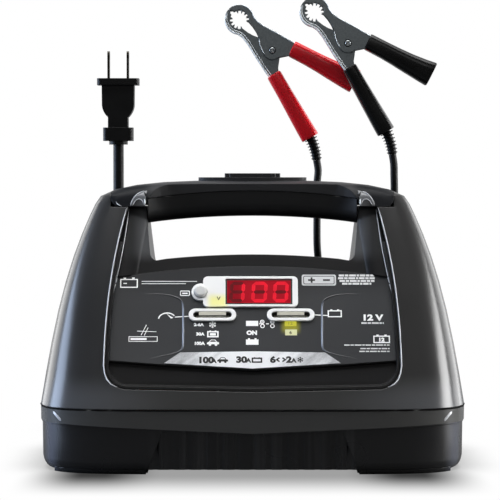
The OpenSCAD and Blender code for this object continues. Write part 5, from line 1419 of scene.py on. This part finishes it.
class CHARGER_OT_marks(bpy.types.Operator):
    """Prints the symbols, figures and lamps on the label and the silver strip"""

    bl_idname = "charger.marks"
    bl_label = "Printed marks"

    def execute(self, context):
        white = ink("white_screen_ink", "#fbfbfa")
        printed("label_symbols", drawn(SYMBOLS), LABEL_TOP, white)
        printed("label_figures", drawn(FIGURES), LABEL_TOP, white)
        printed("label_rules", self.rules(), LABEL_TOP, ink("grey_screen_ink", "#dadada"))
        printed("strip_figures", drawn(STRIP), STRIP_TOP, ink("black_screen_ink", "#0b0b0c"))
        printed("type_lamp", drawn([(bar, 20.1, 28, 27.4, 32.3)]), LABEL_TOP,
                lamp_light("yellow_lamp_window", linear("#dfdc48"), 0.8))
        printed("unlit_lamp_window", drawn([(bar, 20.3, 21.7, 27.7, 25.7)]), LABEL_TOP,
                ink("pale_lamp_window", "#d9d9a6"))
        printed("type_lamp_figure", drawn(LIT_FIGURE), LABEL_TOP, ink("olive_ink", "#8d8b2a"),
                layer=1)
        dark = drawn(DARK_FIGURES)
        for vert in dark.verts:
            # The mark left of the window stands on the display's surround
            vert.co.z += TRIM_TOP - LABEL_TOP if vert.co.x < 0 else 0
        printed("dark_lamp_figures", dark, LABEL_TOP, ink("dark_olive_ink", "#3c3b18"),
                layer=1)
        printed("badge_plate", drawn(BADGE), LABEL_TOP, ink("silver_ink", "#cfd0d1", 0.3))
        printed("badge_signs", drawn(SIGNS), LABEL_TOP, ink("dark_ink", "#232324"),
                layer=1)
        for side in (-1, 1):
            self.ridge(side)
        return {"FINISHED"}

    def rules(self):
        """Broken rules that stand where a real label has its small print."""
        bm = bmesh.new()
        for start, end, y, high in RULES:
            x, k = start, 0
            while x < end - 0.6:
                run = min((3.4, 2.1, 4.3, 1.5)[k % 4], end - x) if high > 0.5 else end - x
                bar(bm, x, y - high / 2, x + run, y + high / 2)
                x += run + 0.5
                k += 1
        return bm

    def ridge(self, side):
        """A raised rib that frames the middle of the label, fading out at both ends."""
        way = [(-66.5, 50.2), (-61, 50.2), (-56, 49.9), (-52, 49.3), (-48.6, 48.2), (-46, 46.9),
               (-44.4, 45.2), (-43.7, 43), (-43.5, 40), (-43.4, 30), (-43.3, 20), (-43.3, 14.5),
               (-43.8, 12.4), (-45.2, 10.9), (-47.6, 9.9), (-51, 8.9), (-57, 7.5), (-63.5, 6)]
        line = [Vector((x * -side, y)) for x, y in way]
        bm = bmesh.new()
        rows = []
        for i, here in enumerate(line):
            run = (line[min(i + 1, len(line) - 1)] - line[max(i - 1, 0)]).normalized()
            across = Vector((-run.y, run.x))
            share = min(1.0, i / 5, (len(line) - 1 - i) / 5)
            half, high = 0.15 + 0.45 * share, 0.02 + 0.4 * share
            rows.append([bm.verts.new((*(here + across * half * math.cos(a)), high * math.sin(a)))
                         for a in (math.pi * k / 4 for k in range(4, -1, -1))])
        skin(bm, rows)
        name = "left_ridge" if side < 0 else "right_ridge"
        mesh = mesh_of(name, bm, panel_matrix(LABEL_TOP), sharp=60)
        return place_piece(name, mesh, "charger", MATERIALS["ridge"])


# ---------- add-on ----------


class CHARGER_PT_steps(bpy.types.Panel):
    """Lists the steps that build the charger"""

    bl_idname = "CHARGER_PT_steps"
    bl_label = "Battery charger"
    bl_space_type = "VIEW_3D"
    bl_region_type = "UI"
    bl_category = "Charger"

    def draw(self, context):
        for name in ("mains_d", "lead_d", "boot_ribs", "boot_r", "ink_t"):
            self.layout.prop(context.scene.charger_sizes, name)
        self.layout.prop(context.scene.charger_colours, "display")
        for operator in OPERATORS:
            self.layout.operator(operator.bl_idname)


OPERATORS = (CHARGER_OT_camera, CHARGER_OT_case, CHARGER_OT_edges, CHARGER_OT_panel,
             CHARGER_OT_display, CHARGER_OT_marks, CHARGER_OT_clamps, CHARGER_OT_leads,
             CHARGER_OT_inside, CHARGER_OT_stage)
CLASSES = (ChargerSizes, ChargerColours, *OPERATORS, CHARGER_PT_steps)


def register():
    for made in CLASSES:
        bpy.utils.register_class(made)
    bpy.types.Scene.charger_sizes = PointerProperty(type=ChargerSizes)
    bpy.types.Scene.charger_colours = PointerProperty(type=ChargerColours)


def unregister():
    del bpy.types.Scene.charger_sizes
    del bpy.types.Scene.charger_colours
    for made in reversed(CLASSES):
        bpy.utils.unregister_class(made)


def main():
    register()
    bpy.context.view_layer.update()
    make_materials()
    bpy.ops.charger.camera()
    bpy.ops.charger.case()
    bpy.ops.charger.edges()
    bpy.ops.charger.panel()
    bpy.ops.charger.display()
    bpy.ops.charger.marks()
    bpy.ops.charger.clamps()
    bpy.ops.charger.leads()
    bpy.ops.charger.inside()
    bpy.ops.charger.stage()
    bpy.context.view_layer.update()


if __name__ == "__main__":
    main()
